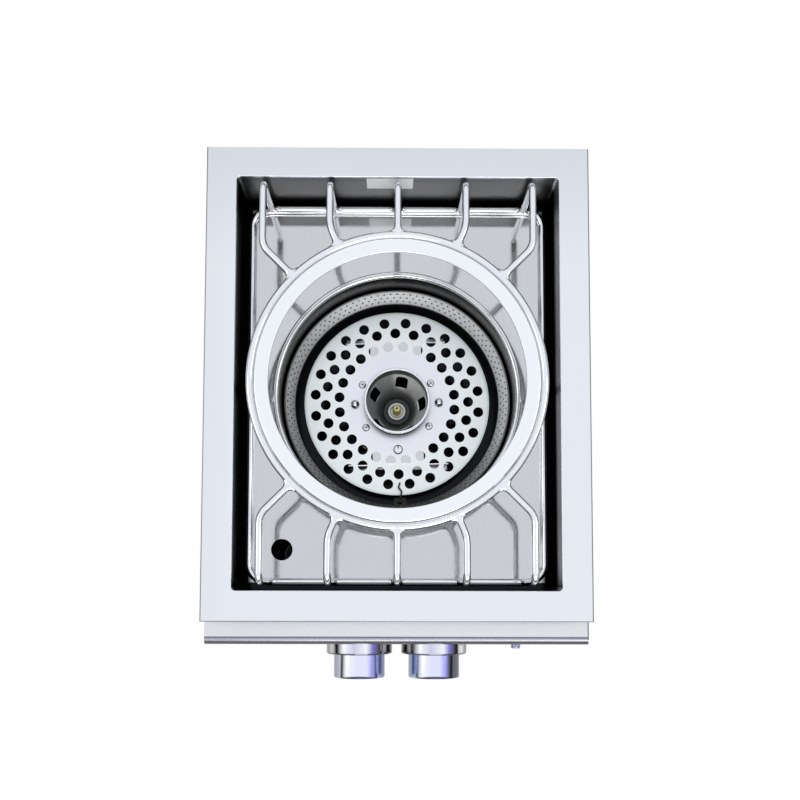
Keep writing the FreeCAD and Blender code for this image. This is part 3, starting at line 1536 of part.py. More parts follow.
def make_push_button():
    body = new_body("push_button", x=button_x, y=face_y, z=knob_z)
    sketch = new_sketch(body, "YZ_Plane")
    back = s.collar_depth - s.button_travel - 1
    outline(sketch, [(-s.button_proud, 0), (-s.button_proud, s.button_radius, 1.2),
                     (back, s.button_radius), (back, 0)])
    turned(body, sketch, "Revolution", "H_Axis")


def make_igniter_module():
    body = new_body("igniter_module", x=button_x, y=face_y, z=knob_z)
    sketch = new_sketch(body, "YZ_Plane")
    end = s.collar_depth + s.igniter_length
    outline(sketch, [(s.collar_depth, 0), (s.collar_depth, s.igniter_radius),
                     (end - 2, s.igniter_radius, 1.5), (end - 2, s.lead_radius * 2),
                     (end, s.lead_radius * 2), (end, 0)])
    turned(body, sketch, "Revolution", "H_Axis")


# electrode and lead

def make_electrode():
    x, y = s.electrode_x, electrode_y
    low, high = bowl_floor - s.ceramic_below, disc_top - s.ceramic_setback
    ceramic = new_body("electrode_ceramic", x=x, y=y)
    sketch = new_sketch(ceramic, "XZ_Plane")
    bore = s.electrode_wire + s.electrode_play
    outline(sketch, [(bore, low), (s.ceramic_radius, low), (s.ceramic_radius, high - 1.5),
                     (s.ceramic_radius - 1.2, high), (bore, high)])
    turned(ceramic, sketch, "Revolution", "V_Axis")
    tip_z = disc_top + s.electrode_tip_rise
    points = [at(x, y, low - 5), at(x, y, tip_z), at(x, y + s.electrode_tip_reach, tip_z)]
    wire = bent_rod(points, 2 * s.electrode_wire.value, s.electrode_wire.value)
    shape_piece("electrode_wire", wire)
    clip = new_body("electrode_clip", x=x, y=y)
    plate = new_sketch(clip, "XY_Plane", bowl_floor)
    half = s.clip_width / 2
    box_outline(plate, -half, half, -half / 2 - 1, half / 2 + 1, 1)
    circle(plate, s.ceramic_radius + s.electrode_play)
    pad(clip, plate, sheet)
    collar = new_sketch(clip, "XY_Plane", bowl_floor)
    circle(collar, s.ceramic_radius + s.electrode_play + 0.8)
    circle(collar, s.ceramic_radius + s.electrode_play)
    pad(clip, collar, 4 * sheet)


def make_spark_lead():
    """From the igniter through the front wall, down, and round behind the neck."""
    x, y = s.electrode_x, electrode_y
    start_y = face_y + s.collar_depth + s.igniter_length
    drop_y = feed_y
    foot_z = bowl_floor - s.ceramic_below - 5
    run_z = foot_z - s.lead_sag
    turn_x = s.neck_half_width + s.lead_clearance
    points = [at(button_x, start_y, knob_z), at(button_x, drop_y, knob_z),
              at(button_x, drop_y, run_z), at(turn_x, y, run_z), at(x, y, run_z),
              at(x, y, foot_z)]
    bend = min(s.lead_bend.value, (points[1] - points[0]).Length * 0.9,
               (points[5] - points[4]).Length * 0.9)
    shape_piece("spark_lead", bent_rod(points, bend, s.lead_radius.value))


def make_all():
    make_top_trim()
    make_well_liner()
    make_floor_pan()
    make_side_panel("left_side_panel", -1)
    make_side_panel("right_side_panel", 1)
    make_rear_panel()
    make_front_panel()
    make_bottom_plate()
    make_casing_screws()
    make_control_panel()
    for name, side in (("left", -1), ("right", 1)):
        make_bezel(name + "_bezel", side)
        make_light_ring(name + "_light_ring", side)
        make_knob(name + "_knob", side)
        make_stem(name + "_stem", side)
        make_valve_plug(name + "_valve_plug", side)
        make_valve(name + "_valve", side)
    make_button_collar()
    make_button_nut()
    make_push_button()
    make_igniter_module()
    make_manifold_pipe()
    make_inlet_elbow()
    make_supply_pipe()
    make_gas_inlet()
    make_inlet_nut()
    make_center_feed_tube()
    make_ring_feed_tube()
    make_ring_orifice_block()
    make_ring_orifice()
    make_ring_venturi()
    make_air_shutter()
    make_burner_bowl()
    make_ring_burner()
    make_disc_bracket("front_disc_bracket", -1)
    make_disc_bracket("rear_disc_bracket", 1)
    make_baffle_disc()
    make_center_cup()
    make_disc_fasteners()
    make_locating_peg()
    make_orifice_holder()
    make_orifice_socket()
    make_center_orifice()
    make_electrode()
    make_spark_lead()
    make_grate()
    make_wok_ring()


def check_features():
    """Stops if any object failed, or if a cut took nothing away."""
    for item in doc.Objects:
        if "Invalid" in item.State or "Error" in item.State:
            raise RuntimeError("%s did not build: %s" % (item.Name, item.State))
    for item in doc.Objects:
        if item.TypeId in ("PartDesign::Pocket", "PartDesign::Groove"):
            before = item.BaseFeature.Shape.Volume
            if before - item.Shape.Volume < 0.01:
                raise RuntimeError("%s cuts nothing" % item.Name)
    for piece in pieces:
        if piece.Shape.isNull() or not piece.Shape.isValid():
            raise RuntimeError("%s has no sound shape" % piece.Label)


make_all()
doc.recompute()
check_features()
os.makedirs("parts", exist_ok=True)
for piece in pieces:
    piece.Shape.exportStep("parts/%s.step" % piece.Label)
print("%d pieces" % len(pieces))
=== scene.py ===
"""Looks of the built-in side burner: finishes, finer pieces, floor, light and camera."""
import json
import math

import bpy
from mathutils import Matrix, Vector


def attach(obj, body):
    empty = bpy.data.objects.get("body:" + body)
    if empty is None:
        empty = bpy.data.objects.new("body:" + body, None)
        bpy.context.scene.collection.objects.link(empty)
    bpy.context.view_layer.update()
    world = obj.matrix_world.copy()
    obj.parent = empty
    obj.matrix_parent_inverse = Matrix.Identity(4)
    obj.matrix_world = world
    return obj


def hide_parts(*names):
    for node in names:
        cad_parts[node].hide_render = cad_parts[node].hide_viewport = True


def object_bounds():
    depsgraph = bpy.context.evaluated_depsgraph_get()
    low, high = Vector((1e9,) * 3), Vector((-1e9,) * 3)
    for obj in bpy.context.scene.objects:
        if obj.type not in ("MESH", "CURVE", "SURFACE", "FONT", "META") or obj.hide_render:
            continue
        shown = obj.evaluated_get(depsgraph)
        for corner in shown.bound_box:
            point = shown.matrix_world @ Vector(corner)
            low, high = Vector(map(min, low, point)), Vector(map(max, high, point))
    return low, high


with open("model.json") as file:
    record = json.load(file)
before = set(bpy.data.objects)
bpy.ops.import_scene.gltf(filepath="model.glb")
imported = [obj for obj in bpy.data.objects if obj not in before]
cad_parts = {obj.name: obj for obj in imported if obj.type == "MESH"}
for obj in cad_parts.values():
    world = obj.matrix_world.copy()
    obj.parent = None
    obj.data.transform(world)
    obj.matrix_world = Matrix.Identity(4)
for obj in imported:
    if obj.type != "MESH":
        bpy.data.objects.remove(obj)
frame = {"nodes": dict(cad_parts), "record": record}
cad_low, cad_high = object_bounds()
nodes = frame["nodes"]


# ---------------------------------------------------------------- modelling helpers

MERGE_GAP = 0.000002
SMOOTH_UP_TO = 32


def put_down():
    """Leaves edit mode and lets go of everything."""
    if bpy.context.object and bpy.context.object.mode != "OBJECT":
        bpy.ops.object.mode_set(mode="OBJECT")
    bpy.ops.object.select_all(action="DESELECT")


def keep_place():
    """Puts the place, turn and size of the piece in hand into its mesh."""
    bpy.ops.object.transform_apply(location=True, rotation=True, scale=True)


def edit_all():
    """Enters edit mode with everything selected."""
    bpy.ops.object.mode_set(mode="EDIT")
    bpy.ops.mesh.select_all(action="SELECT")


def take_up(piece):
    put_down()
    piece.select_set(True)
    bpy.context.view_layer.objects.active = piece


def pick(piece, kind, test):
    """In edit mode, selects the faces, edges or vertices that pass a test."""
    bpy.ops.mesh.select_mode(type=kind)
    bpy.ops.mesh.select_all(action="DESELECT")
    bpy.ops.object.mode_set(mode="OBJECT")
    mesh = piece.data
    items = {"FACE": mesh.polygons, "EDGE": mesh.edges, "VERT": mesh.vertices}[kind]
    for item in items:
        if kind == "EDGE":
            ends = [mesh.vertices[index].co for index in item.vertices]
            item.select = test(*ends)
        else:
            item.select = test(item)
    bpy.ops.object.mode_set(mode="EDIT")


def settle(piece, at=(0, 0, 0), turn=(0, 0, 0)):
    """Turns and moves a finished shape to its place, and puts the place in its mesh."""
    take_up(piece)
    piece.rotation_euler = turn
    piece.location = at
    keep_place()


def smooth_up_to(piece, angle=SMOOTH_UP_TO):
    """Shades smoothly over edges that turn by less than an angle in degrees."""
    take_up(piece)
    bpy.ops.object.shade_smooth_by_angle(angle=math.radians(angle))


def tidy_shell(piece, angle=SMOOTH_UP_TO):
    """Closes a finished shell's seams, turns its faces outwards and shades it smoothly."""
    take_up(piece)
    edit_all()
    bpy.ops.mesh.remove_doubles(threshold=MERGE_GAP)
    bpy.ops.mesh.normals_make_consistent(inside=False)
    bpy.ops.object.mode_set(mode="OBJECT")
    smooth_up_to(piece, angle)


def alter(piece, kind, **settings):
    """Puts a piece through one modifier, for good."""
    take_up(piece)
    modifier = piece.modifiers.new(kind, kind)
    for key, value in settings.items():
        setattr(modifier, key, value)
    bpy.ops.object.modifier_apply(modifier=modifier.name)


def soften(piece, width, segments=2, angle=30):
    """Breaks the edges that turn by more than an angle with a small round."""
    alter(piece, "BEVEL", width=width, segments=segments, limit_method="ANGLE",
          angle_limit=math.radians(angle), harden_normals=False)


def turned(name, profile, segments=96):
    """A shape turned about Z: one ring is drawn out through a profile of (radius, height).
    A profile that comes back to its start leaves a hollow ring."""
    put_down()
    radius, height = profile[0]
    bpy.ops.mesh.primitive_circle_add(vertices=segments, radius=radius,
                                      location=(0, 0, height))
    piece = bpy.context.object
    piece.name = name
    keep_place()
    edit_all()
    for next_radius, next_height in profile[1:]:
        rise = {"value": (0, 0, next_height - height)}
        bpy.ops.mesh.extrude_edges_move(TRANSFORM_OT_translate=rise)
        if next_radius < 1e-6:
            bpy.ops.mesh.merge(type="CENTER")
            break
        if abs(next_radius - radius) > 1e-9:
            share = next_radius / radius
            bpy.ops.transform.resize(value=(share, share, 1),
                                     center_override=(0, 0, next_height))
        radius, height = next_radius, next_height
    if profile[-1] != profile[0]:
        bpy.ops.mesh.select_all(action="SELECT")
        bpy.ops.mesh.fill_holes(sides=0)
    tidy_shell(piece)
    return piece


def copied(piece, at=(0, 0, 0), turn=0):
    """A copy with a mesh of its own, turned about Z by degrees and moved to its place."""
    copy = piece.copy()
    copy.data = piece.data.copy()
    bpy.context.scene.collection.objects.link(copy)
    settle(copy, at, (0, 0, math.radians(turn)))
    return copy


def carve(piece, *tools):
    """Cuts the shapes out of a piece and clears them away."""
    for tool in tools:
        alter(piece, "BOOLEAN", operation="DIFFERENCE", solver="EXACT", object=tool)
        bpy.data.objects.remove(tool)


def block(name, low, high):
    put_down()
    middle = [(a + b) / 2 for a, b in zip(low, high)]
    size = [b - a for a, b in zip(low, high)]
    bpy.ops.mesh.primitive_cube_add(size=1, location=middle, scale=size)
    piece = bpy.context.object
    piece.name = name
    keep_place()
    return piece


def weld_up(name, shapes):
    """Makes one piece of several shapes."""
    put_down()
    for shape in shapes:
        shape.select_set(True)
    bpy.context.view_layer.objects.active = shapes[0]
    if len(shapes) > 1:
        bpy.ops.object.join()
    piece = bpy.context.object
    piece.name = name
    piece.data.name = name
    return piece


WELD_REACH = 0.006
WELD_STEPS = (0.006, 0.0045, 0.003, 0.0015, 0.0007, 0.0)


def weld_share(away, radius):
    """How much wider the rod is at a distance from what it is welded to."""
    fall = math.sqrt(max(0.0, WELD_REACH ** 2 - (WELD_REACH - away) ** 2))
    return 1 + (WELD_REACH - fall) / radius


def drawn_rod(name, points, bends, radius, welds=(None, None), segments=20, steps=10):
    """A round rod led along points. A weld gives the radius of the rod that is met and the
    axes that the rod spreads along as it runs into it."""
    points = [Vector(point) for point in points]
    run = (points[1] - points[0]).normalized()
    put_down()
    bpy.ops.mesh.primitive_circle_add(vertices=segments, radius=radius, location=points[0],
                                      rotation=run.to_track_quat("Z", "Y").to_euler())
    rod = bpy.context.object
    rod.name = name
    keep_place()
    edit_all()
    here, width = points[0].copy(), 1.0

    def draw_to(place):
        nonlocal here
        bpy.ops.mesh.extrude_edges_move(TRANSFORM_OT_translate={"value": place - here})
        here = place.copy()

    def widen(share, axes):
        nonlocal width
        step = share / width
        bpy.ops.transform.resize(value=[step if axis else 1 for axis in axes],
                                 center_override=here)
        width = share

    if welds[0]:
        met, axes = welds[0]
        widen(weld_share(0, radius), axes)
        for away in reversed(WELD_STEPS):
            draw_to(points[0] + run * (met + away))
            widen(weld_share(away, radius), axes)
    for index in range(1, len(points) - 1):
        corner, following = points[index], points[index + 1]
        outward = (following - corner).normalized()
        turn = run.angle(outward)
        back = bends[index - 1] * math.tan(turn / 2)
        axis = run.cross(outward).normalized()
        draw_to(corner - run * back)
        centre = here + axis.cross(run) * bends[index - 1]
        bpy.ops.mesh.spin(steps=steps, angle=-turn, center=centre, axis=axis)
        run = outward
        here = corner + outward * back
    if welds[1]:
        met, axes = welds[1]
        for away in WELD_STEPS:
            draw_to(points[-1] - run * (met + away))
            widen(weld_share(away, radius), axes)
    draw_to(points[-1])
    if (points[0] - points[-1]).length > 1e-6:
        bpy.ops.mesh.select_all(action="SELECT")
        bpy.ops.mesh.fill_holes(sides=0)
    tidy_shell(rod, 50)
    return rod


def even_shading(piece):
    """Keeps large flat faces flat where they run into a small round."""
    alter(piece, "WEIGHTED_NORMAL", keep_sharp=True, weight=100)


def clean_copy(node):
    """A smoothly shaded copy of a node, for round shapes that catch the light."""
    piece = bpy.data.objects.new(node + "_finished", nodes[node].data.copy())
    bpy.context.scene.collection.objects.link(piece)
    take_up(piece)
    piece.data.materials.clear()
    tidy_shell(piece, 30)
    even_shading(piece)
    return piece


def fit(piece, body, *stood_for, finish=None, slot=None):
    """Gives a piece its body and finish, and hides the nodes that it stands for. The finish is
    that of the slot if none is given, and the slot is that of the first of them if none is
    given."""
    put_down()
    slot = slot or SLOT_OF_NODE[stood_for[0]]
    finish = finish or FINISHES[slot]
    if len(piece.data.materials) > 1:
        piece.data.materials[0] = finish
    else:
        piece.data.materials.clear()
        piece.data.materials.append(finish)
    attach(piece, body)
    if stood_for:
        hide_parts(*stood_for)
    return piece


def repaint(piece, finish, test):
    """Gives a second finish to the faces that pass a test."""
    piece.data.materials.append(finish)
    for face in piece.data.polygons:
        if test(face):
            face.material_index = 1


# ---------------------------------------------------------------- shared effects

VECTOR, FLOAT = "NodeSocketVector", "NodeSocketFloat"


def new_group(name, values, *outputs):
    """An effect that reads a vector and named values, and gives out plain shares."""
    group = bpy.data.node_groups.new(name, "ShaderNodeTree")
    new_socket = group.interface.new_socket
    new_socket(name="Vector", in_out="INPUT", socket_type=VECTOR)
    for label, value in values.items():
        kind = VECTOR if isinstance(value, tuple) else FLOAT
        new_socket(name=label, in_out="INPUT", socket_type=kind).default_value = value
    for label in outputs:
        new_socket(name=label, in_out="OUTPUT", socket_type=FLOAT)
    start = group.nodes.new("NodeGroupInput")
    end = group.nodes.new("NodeGroupOutput")
    return group, start.outputs, end.inputs


def add_node(tree, kind, **settings):
    node = tree.nodes.new(kind)
    for key, value in settings.items():
        setattr(node, key, value)
    return node


def feed(tree, socket, value):
    """Links a socket's value, or sets it when it is a plain number or colour."""
    if isinstance(value, bpy.types.NodeSocket):
        tree.links.new(value, socket)
    else:
        socket.default_value = value


def noise(tree, vector, scale, detail=3.0, roughness=0.5, dimensions="3D"):
    node = add_node(tree, "ShaderNodeTexNoise", noise_dimensions=dimensions)
    feed(tree, node.inputs["W" if dimensions == "1D" else "Vector"], vector)
    feed(tree, node.inputs["Scale"], scale)
    feed(tree, node.inputs["Detail"], detail)
    feed(tree, node.inputs["Roughness"], roughness)
    return node.outputs["Fac"]


def reckon(tree, operation, first, second=0.0, clamp=False):
    node = add_node(tree, "ShaderNodeMath", operation=operation, use_clamp=clamp)
    feed(tree, node.inputs[0], first)
    feed(tree, node.inputs[1], second)
    return node.outputs[0]


def times(tree, first, second):
    return reckon(tree, "MULTIPLY", first, second)


def plus(tree, first, second):
    return reckon(tree, "ADD", first, second)


def spread(tree, value, low, high, to_low=0.0, to_high=1.0):
    node = add_node(tree, "ShaderNodeMapRange", clamp=True)
    for index, given in enumerate((value, low, high, to_low, to_high)):
        feed(tree, node.inputs[index], given)
    return node.outputs[0]


def blend_colours(tree, share, first, second):
    node = add_node(tree, "ShaderNodeMix", data_type="RGBA")
    feed(tree, node.inputs["Factor"], share)
    feed(tree, node.inputs["A"], first)
    feed(tree, node.inputs["B"], second)
    return node.outputs["Result"]


def colour_ramp(tree, share, stops):
    """The colour at a share of the way along rising (position, colour) stops."""
    ramp = add_node(tree, "ShaderNodeValToRGB")
    elements = ramp.color_ramp.elements
    for element, (position, colour) in zip(elements, (stops[0], stops[-1])):
        element.position, element.color = position, (*colour, 1)
    for position, colour in stops[1:-1]:
        elements.new(position).color = (*colour, 1)
    tree.links.new(share, ramp.inputs[0])
    return ramp.outputs[0]


def mix_shaders(tree, share, first, second):
    mix = add_node(tree, "ShaderNodeMixShader")
    for socket, given in zip(mix.inputs, (share, first, second)):
        tree.links.new(given, socket)
    return mix.outputs[0]


def split(tree, vector):
    """The three parts of a vector."""
    parts = add_node(tree, "ShaderNodeSeparateXYZ")
    tree.links.new(vector, parts.inputs[0])
    return parts.outputs


def dot(tree, first, second):
    node = add_node(tree, "ShaderNodeVectorMath", operation="DOT_PRODUCT")
    tree.links.new(first, node.inputs[0])
    tree.links.new(second, node.inputs[1])
    return node.outputs["Value"]


def make_brushing():
    """Fine lines along one axis; the vector comes in already stretched."""
    group, given, out = new_group("brushing", {"Fineness": 400.0}, "Lines", "Tone")
    fine = noise(group, given["Vector"], given["Fineness"], 2.0, 0.6)
    broad = noise(group, given["Vector"], times(group, given["Fineness"], 0.07), 3.0, 0.5)
    group.links.new(fine, out["Lines"])
    group.links.new(spread(group, broad, 0.3, 0.7), out["Tone"])
    return group


def make_turning():
    """Fine rings about the Z axis, as spinning and lathe work leave them."""
    group, given, out = new_group("turning", {"Fineness": 900.0}, "Lines", "Tone")
    across, along, up = split(group, given["Vector"])
    reach = reckon(group, "SQRT", plus(group, reckon(group, "POWER", across, 2.0),
                                       reckon(group, "POWER", along, 2.0)))
    track = plus(group, reach, times(group, up, 1.37))
    fine = noise(group, track, given["Fineness"], 3.0, 0.6, "1D")
    broad = noise(group, track, times(group, given["Fineness"], 0.09), 2.0, 0.5, "1D")
    group.links.new(fine, out["Lines"])
    group.links.new(spread(group, broad, 0.3, 0.7), out["Tone"])
    return group


def make_handling():
    """Faint smears and wipe marks, at the size of a hand and of a fingertip."""
    group, given, out = new_group("handling", {}, "Smear", "Spots")
    broad = noise(group, given["Vector"], 9.0, 4.0, 0.55)
    small = noise(group, given["Vector"], 70.0, 3.0, 0.6)
    group.links.new(spread(group, broad, 0.38, 0.68), out["Smear"])
    group.links.new(spread(group, small, 0.52, 0.72), out["Spots"])
    return group


def make_edge_rub():
    """Brighter, rubbed edges, found by how far a rounded normal departs."""
    group, given, out = new_group("edge_rub", {"Breadth": 0.0006}, "Rub")
    rounded = add_node(group, "ShaderNodeBevel", samples=4)
    feed(group, rounded.inputs["Radius"], given["Breadth"])
    real = add_node(group, "ShaderNodeNewGeometry").outputs["Normal"]
    depart = spread(group, dot(group, rounded.outputs[0], real), 0.995, 0.86)
    worn = spread(group, noise(group, given["Vector"], 160.0, 3.0, 0.6), 0.35, 0.6, 0.25, 1.0)
    group.links.new(times(group, depart, worn), out["Rub"])
    return group


def make_axis_shade():
    """Share of the way from one place to another along an axis."""
    group, given, out = new_group("axis_shade", {"Axis": (0, 0, 1), "Low": 0.0, "High": 1.0},
                                  "Share")
    along = dot(group, given["Vector"], given["Axis"])
    group.links.new(spread(group, along, given["Low"], given["High"]), out["Share"])
    return group


def make_round_shade():
    """Share of the way from one radius to another about the Z axis."""
    group, given, out = new_group("round_shade", {"Low": 0.0, "High": 1.0}, "Share")
    flat = add_node(group, "ShaderNodeVectorMath", operation="MULTIPLY")
    group.links.new(given["Vector"], flat.inputs[0])
    flat.inputs[1].default_value = (1, 1, 0)
    reach = add_node(group, "ShaderNodeVectorMath", operation="LENGTH")
    group.links.new(flat.outputs[0], reach.inputs[0])
    group.links.new(spread(group, reach.outputs["Value"], given["Low"], given["High"]),
                    out["Share"])
    return group


def make_margin_shade():
    """Share outside a rectangle about the middle, as where a pan runs under its walls."""
    group, given, out = new_group("margin_shade",
                                  {"Across": 0.1, "Along": 0.1, "Fade": 0.002}, "Share")
    outside = []
    for part, label in zip(split(group, given["Vector"]), ("Across", "Along")):
        reach = reckon(group, "ABSOLUTE", part)
        outside.append(spread(group, reach, given[label],
                              plus(group, given[label], given["Fade"])))
    group.links.new(reckon(group, "MAXIMUM", *outside), out["Share"])
    return group


BRUSHING = make_brushing()
TURNING = make_turning()
HANDLING = make_handling()
EDGE_RUB = make_edge_rub()
AXIS_SHADE = make_axis_shade()
ROUND_SHADE = make_round_shade()
MARGIN_SHADE = make_margin_shade()


# ---------------------------------------------------------------- finishes

FINISHES = {}


def new_finish(name):
    """A new finish, kept under its name. That is the name of its slot, if it has one."""
    material = bpy.data.materials.new(name)
    material.use_nodes = True
    FINISHES[name] = material
    tree = material.node_tree
    shader = tree.nodes["Principled BSDF"]
    place = add_node(tree, "ShaderNodeTexCoord").outputs["Object"]
    return material, tree, shader, place


def use_group(tree, group, vector, **values):
    node = add_node(tree, "ShaderNodeGroup", node_tree=group)
    feed(tree, node.inputs["Vector"], vector)
    for label, value in values.items():
        feed(tree, node.inputs[label.capitalize()], value)
    return node.outputs


def stretched(tree, place, stretch):
    """Coordinates squeezed along the run of the brushing."""
    mapping = add_node(tree, "ShaderNodeMapping", vector_type="TEXTURE")
    mapping.inputs["Scale"].default_value = stretch
    tree.links.new(place, mapping.inputs["Vector"])
    return mapping.outputs[0]


def toned(colour, share):
    """A colour made lighter or darker, with its alpha."""
    return (*[min(1.0, value * share) for value in colour], 1)


def bump(tree, shader, height, distance):
    node = add_node(tree, "ShaderNodeBump")
    node.inputs["Distance"].default_value = distance
    tree.links.new(height, node.inputs["Height"])
    tree.links.new(node.outputs[0], shader.inputs["Normal"])


BARREL_LOW, BARREL_HIGH = 0.158, 0.174


def cast(tree, place, centre, half_width, stops):
    """Painted reflection: soft bands of colour across a barrel, only on its upper side."""
    across = use_group(tree, AXIS_SHADE, place, axis=(1, 0, 0), low=centre - half_width,
                       high=centre + half_width)["Share"]
    upper = use_group(tree, AXIS_SHADE, place, axis=(0, 0, 1), low=BARREL_LOW,
                      high=BARREL_HIGH)["Share"]
    return upper, colour_ramp(tree, across, stops)


LINES_WEIGHT, TONE_WEIGHT = 0.55, 0.45
# PAINTED_REFLECTION_STRENGTH is how strongly a barrel's painted reflection covers the steel
PAINTED_REFLECTION_STRENGTH, SMEAR_STRENGTH, RUB_STRENGTH = 0.92, 0.35, 0.6
SMEARED_TONE, RUBBED_TONE = 0.97, 1.12


def steel(name, pale, dark, rough, spread_of_rough=0.08, stretch=(1, 1, 1), fineness=400.0,
          spun=False, grain=0.00002, rub=0.0006, metal=1.0, smear=0.06, shades=(),
          bands=None, rim=1.0):
    """Stainless sheet or rod: brushed along an axis, or spun about the burner's. Bands are a
    painted reflection of what a barrel mirrors, laid on its upper side, and rim is how bright
    the steel is when seen aslant. Each shade is painted light or shade: it names an effect,
    its values and the colour that it fades to; the last one lies on top."""
    material, tree, shader, place = new_finish(name)
    if spun:
        lines = use_group(tree, TURNING, place, fineness=fineness)
    else:
        lines = use_group(tree, BRUSHING, stretched(tree, place, stretch), fineness=fineness)
    marks = use_group(tree, HANDLING, place)
    edges = use_group(tree, EDGE_RUB, place, breadth=rub)
    tone = plus(tree, times(tree, lines["Lines"], LINES_WEIGHT),
                times(tree, lines["Tone"], TONE_WEIGHT))
    shown = blend_colours(tree, tone, (*dark, 1), (*pale, 1))
    if bands:
        upper, mirrored = cast(tree, place, *bands)
        shown = blend_colours(tree, times(tree, upper, PAINTED_REFLECTION_STRENGTH), shown, mirrored)
    else:
        smeared = [0.5 * (a + b) * SMEARED_TONE for a, b in zip(pale, dark)]
        shown = blend_colours(tree, times(tree, marks["Smear"], SMEAR_STRENGTH), shown,
                              (*smeared, 1))
    shown = blend_colours(tree, times(tree, edges["Rub"], RUB_STRENGTH), shown,
                          toned(pale, RUBBED_TONE))
    for group, values, colour in shades:
        share = use_group(tree, group, place, **values)["Share"]
        shown = blend_colours(tree, share, shown, (*colour, 1))
    feed(tree, shader.inputs["Base Color"], shown)
    roughness = plus(tree, times(tree, lines["Lines"], spread_of_rough),
                     rough - spread_of_rough / 2)
    roughness = plus(tree, roughness, times(tree, marks["Smear"], smear))
    roughness = reckon(tree, "ADD", roughness, times(tree, marks["Spots"], smear * 0.6),
                       clamp=True)
    feed(tree, shader.inputs["Roughness"], roughness)
    shader.inputs["Metallic"].default_value = metal
    shader.inputs["Specular Tint"].default_value = (rim, rim, rim, 1)
    bump(tree, shader, lines["Lines"], grain)
    return material


def moulded(name, colour, rough, grain=0.00004, fineness=1400.0, metal=0.0):
    """Moulded or glazed stuff with a fine skin."""
    material, tree, shader, place = new_finish(name)
    skin = noise(tree, place, fineness, 3.0, 0.6)
    marks = use_group(tree, HANDLING, place)
    tone = plus(tree, times(tree, marks["Smear"], 0.6), times(tree, skin, 0.4))
    feed(tree, shader.inputs["Base Color"],
         blend_colours(tree, tone, toned(colour, 0.82), toned(colour, 1.1)))
    feed(tree, shader.inputs["Roughness"],
         plus(tree, times(tree, marks["Spots"], 0.12), rough))
    shader.inputs["Metallic"].default_value = metal
    bump(tree, shader, skin, grain)
    return material


def lit_plastic(name, glow, strength):
    """Frosted light guide, brighter where the lamps sit behind it."""
    material, tree, shader, place = new_finish(name)
    patches = noise(tree, place, 120.0, 2.0, 0.5)
    feed(tree, shader.inputs["Base Color"],
         blend_colours(tree, patches, (0.50, 0.50, 0.86, 1), (0.72, 0.72, 0.96, 1)))
    feed(tree, shader.inputs["Emission Color"],
         blend_colours(tree, patches, toned(glow, 0.7), (*glow, 1)))
    shader.inputs["Emission Strength"].default_value = strength
    shader.inputs["Roughness"].default_value = 0.45
    bump(tree, shader, patches, 0.00005)
    return material


UP, ACROSS, ALONG = (0, 0, 1), (1, 0, 0), (0, 1, 0)
# near black for painted shade: in hollows, under parts and where parts meet
PAINTED_SHADE_BLACK = (0.012, 0.013, 0.015)


def grey(value):
    return value, value, value


def fade(axis, low, high, colour):
    """A painted shade or highlight that grows along an axis from one place to another."""
    return AXIS_SHADE, {"axis": axis, "low": low, "high": high}, colour


def fade_round(low, high, colour):
    """A shade that grows from one radius about the burner's axis to another."""
    return ROUND_SHADE, {"low": low, "high": high}, colour


# painted shade: duller to the left and to the back, and a dark line along the front, right and
# left edge
steel("trim_steel", (0.89, 0.90, 0.92), (0.83, 0.84, 0.86), 0.22, 0.05,
      stretch=(1, 0.02, 1), fineness=900, grain=0.000004, smear=0.03,
      shades=[fade(ACROSS, -0.17, -0.30, (0.72, 0.71, 0.70)),
              fade(ALONG, 0.12, 0.30, (0.70, 0.71, 0.73)),
              fade(ALONG, -0.2464, -0.2469, (0.22, 0.23, 0.26)),
              fade(ACROSS, 0.1985, 0.1990, (0.20, 0.20, 0.23)),
              fade(ACROSS, -0.1985, -0.1990, (0.28, 0.28, 0.31))])
# painted shade on the round of the top edge from back to front and on its foot, the pale face
# again, and a painted dark line at the right end
panel_finish = steel("panel_steel", (0.81, 0.81, 0.80), grey(0.74), 0.26, 0.06,
                     stretch=(0.02, 1, 1), fineness=900, grain=0.000004,
                     shades=[fade(ALONG, -0.2634, -0.2640, (0.20, 0.21, 0.28)),
                             fade(ALONG, -0.2651, -0.2657, (0.42, 0.42, 0.45)),
                             fade(UP, 0.2149, 0.21445, (0.16, 0.16, 0.17)),
                             fade(UP, 0.2138, 0.2128, (0.14, 0.14, 0.16)),
                             fade(UP, 0.2088, 0.2070, (0.80, 0.80, 0.81)),
                             fade(ACROSS, 0.1984, 0.1988, (0.15, 0.15, 0.17)),
                             fade(ACROSS, 0.1996, 0.1998, grey(0.78))])
# painted shade on the right and the left wall and at the foot of the walls, a painted grey
# band at their top, and a painted highlight at the right wall's top
steel("well_steel", (0.36, 0.36, 0.355), grey(0.28), 0.30,
      stretch=(1, 1, 0.04), fineness=800, grain=0.000004, rim=0.30,
      shades=[fade(ACROSS, 0.164, 0.168, grey(0.02)),
              fade(ACROSS, -0.164, -0.168, PAINTED_SHADE_BLACK),
              fade(UP, 0.190, 0.177, PAINTED_SHADE_BLACK),
              fade(UP, 0.224, 0.235, (0.26, 0.27, 0.29)),
              fade((1, 0, 1), 0.376, 0.390, (0.70, 0.70, 0.72))])
# painted shade, dark where the pan runs under the walls
steel("pan_steel", grey(0.68), (0.61, 0.61, 0.615), 0.07, 0.03,
      stretch=(0.03, 1, 1), fineness=700, grain=0.000002, smear=0.05,
      shades=[(MARGIN_SHADE, {"across": 0.1605, "along": 0.2065, "fade": 0.0015}, PAINTED_SHADE_BLACK)])
steel("casing_steel", grey(0.70), (0.58, 0.58, 0.59), 0.34, stretch=(1, 1, 0.03),
      fineness=500)
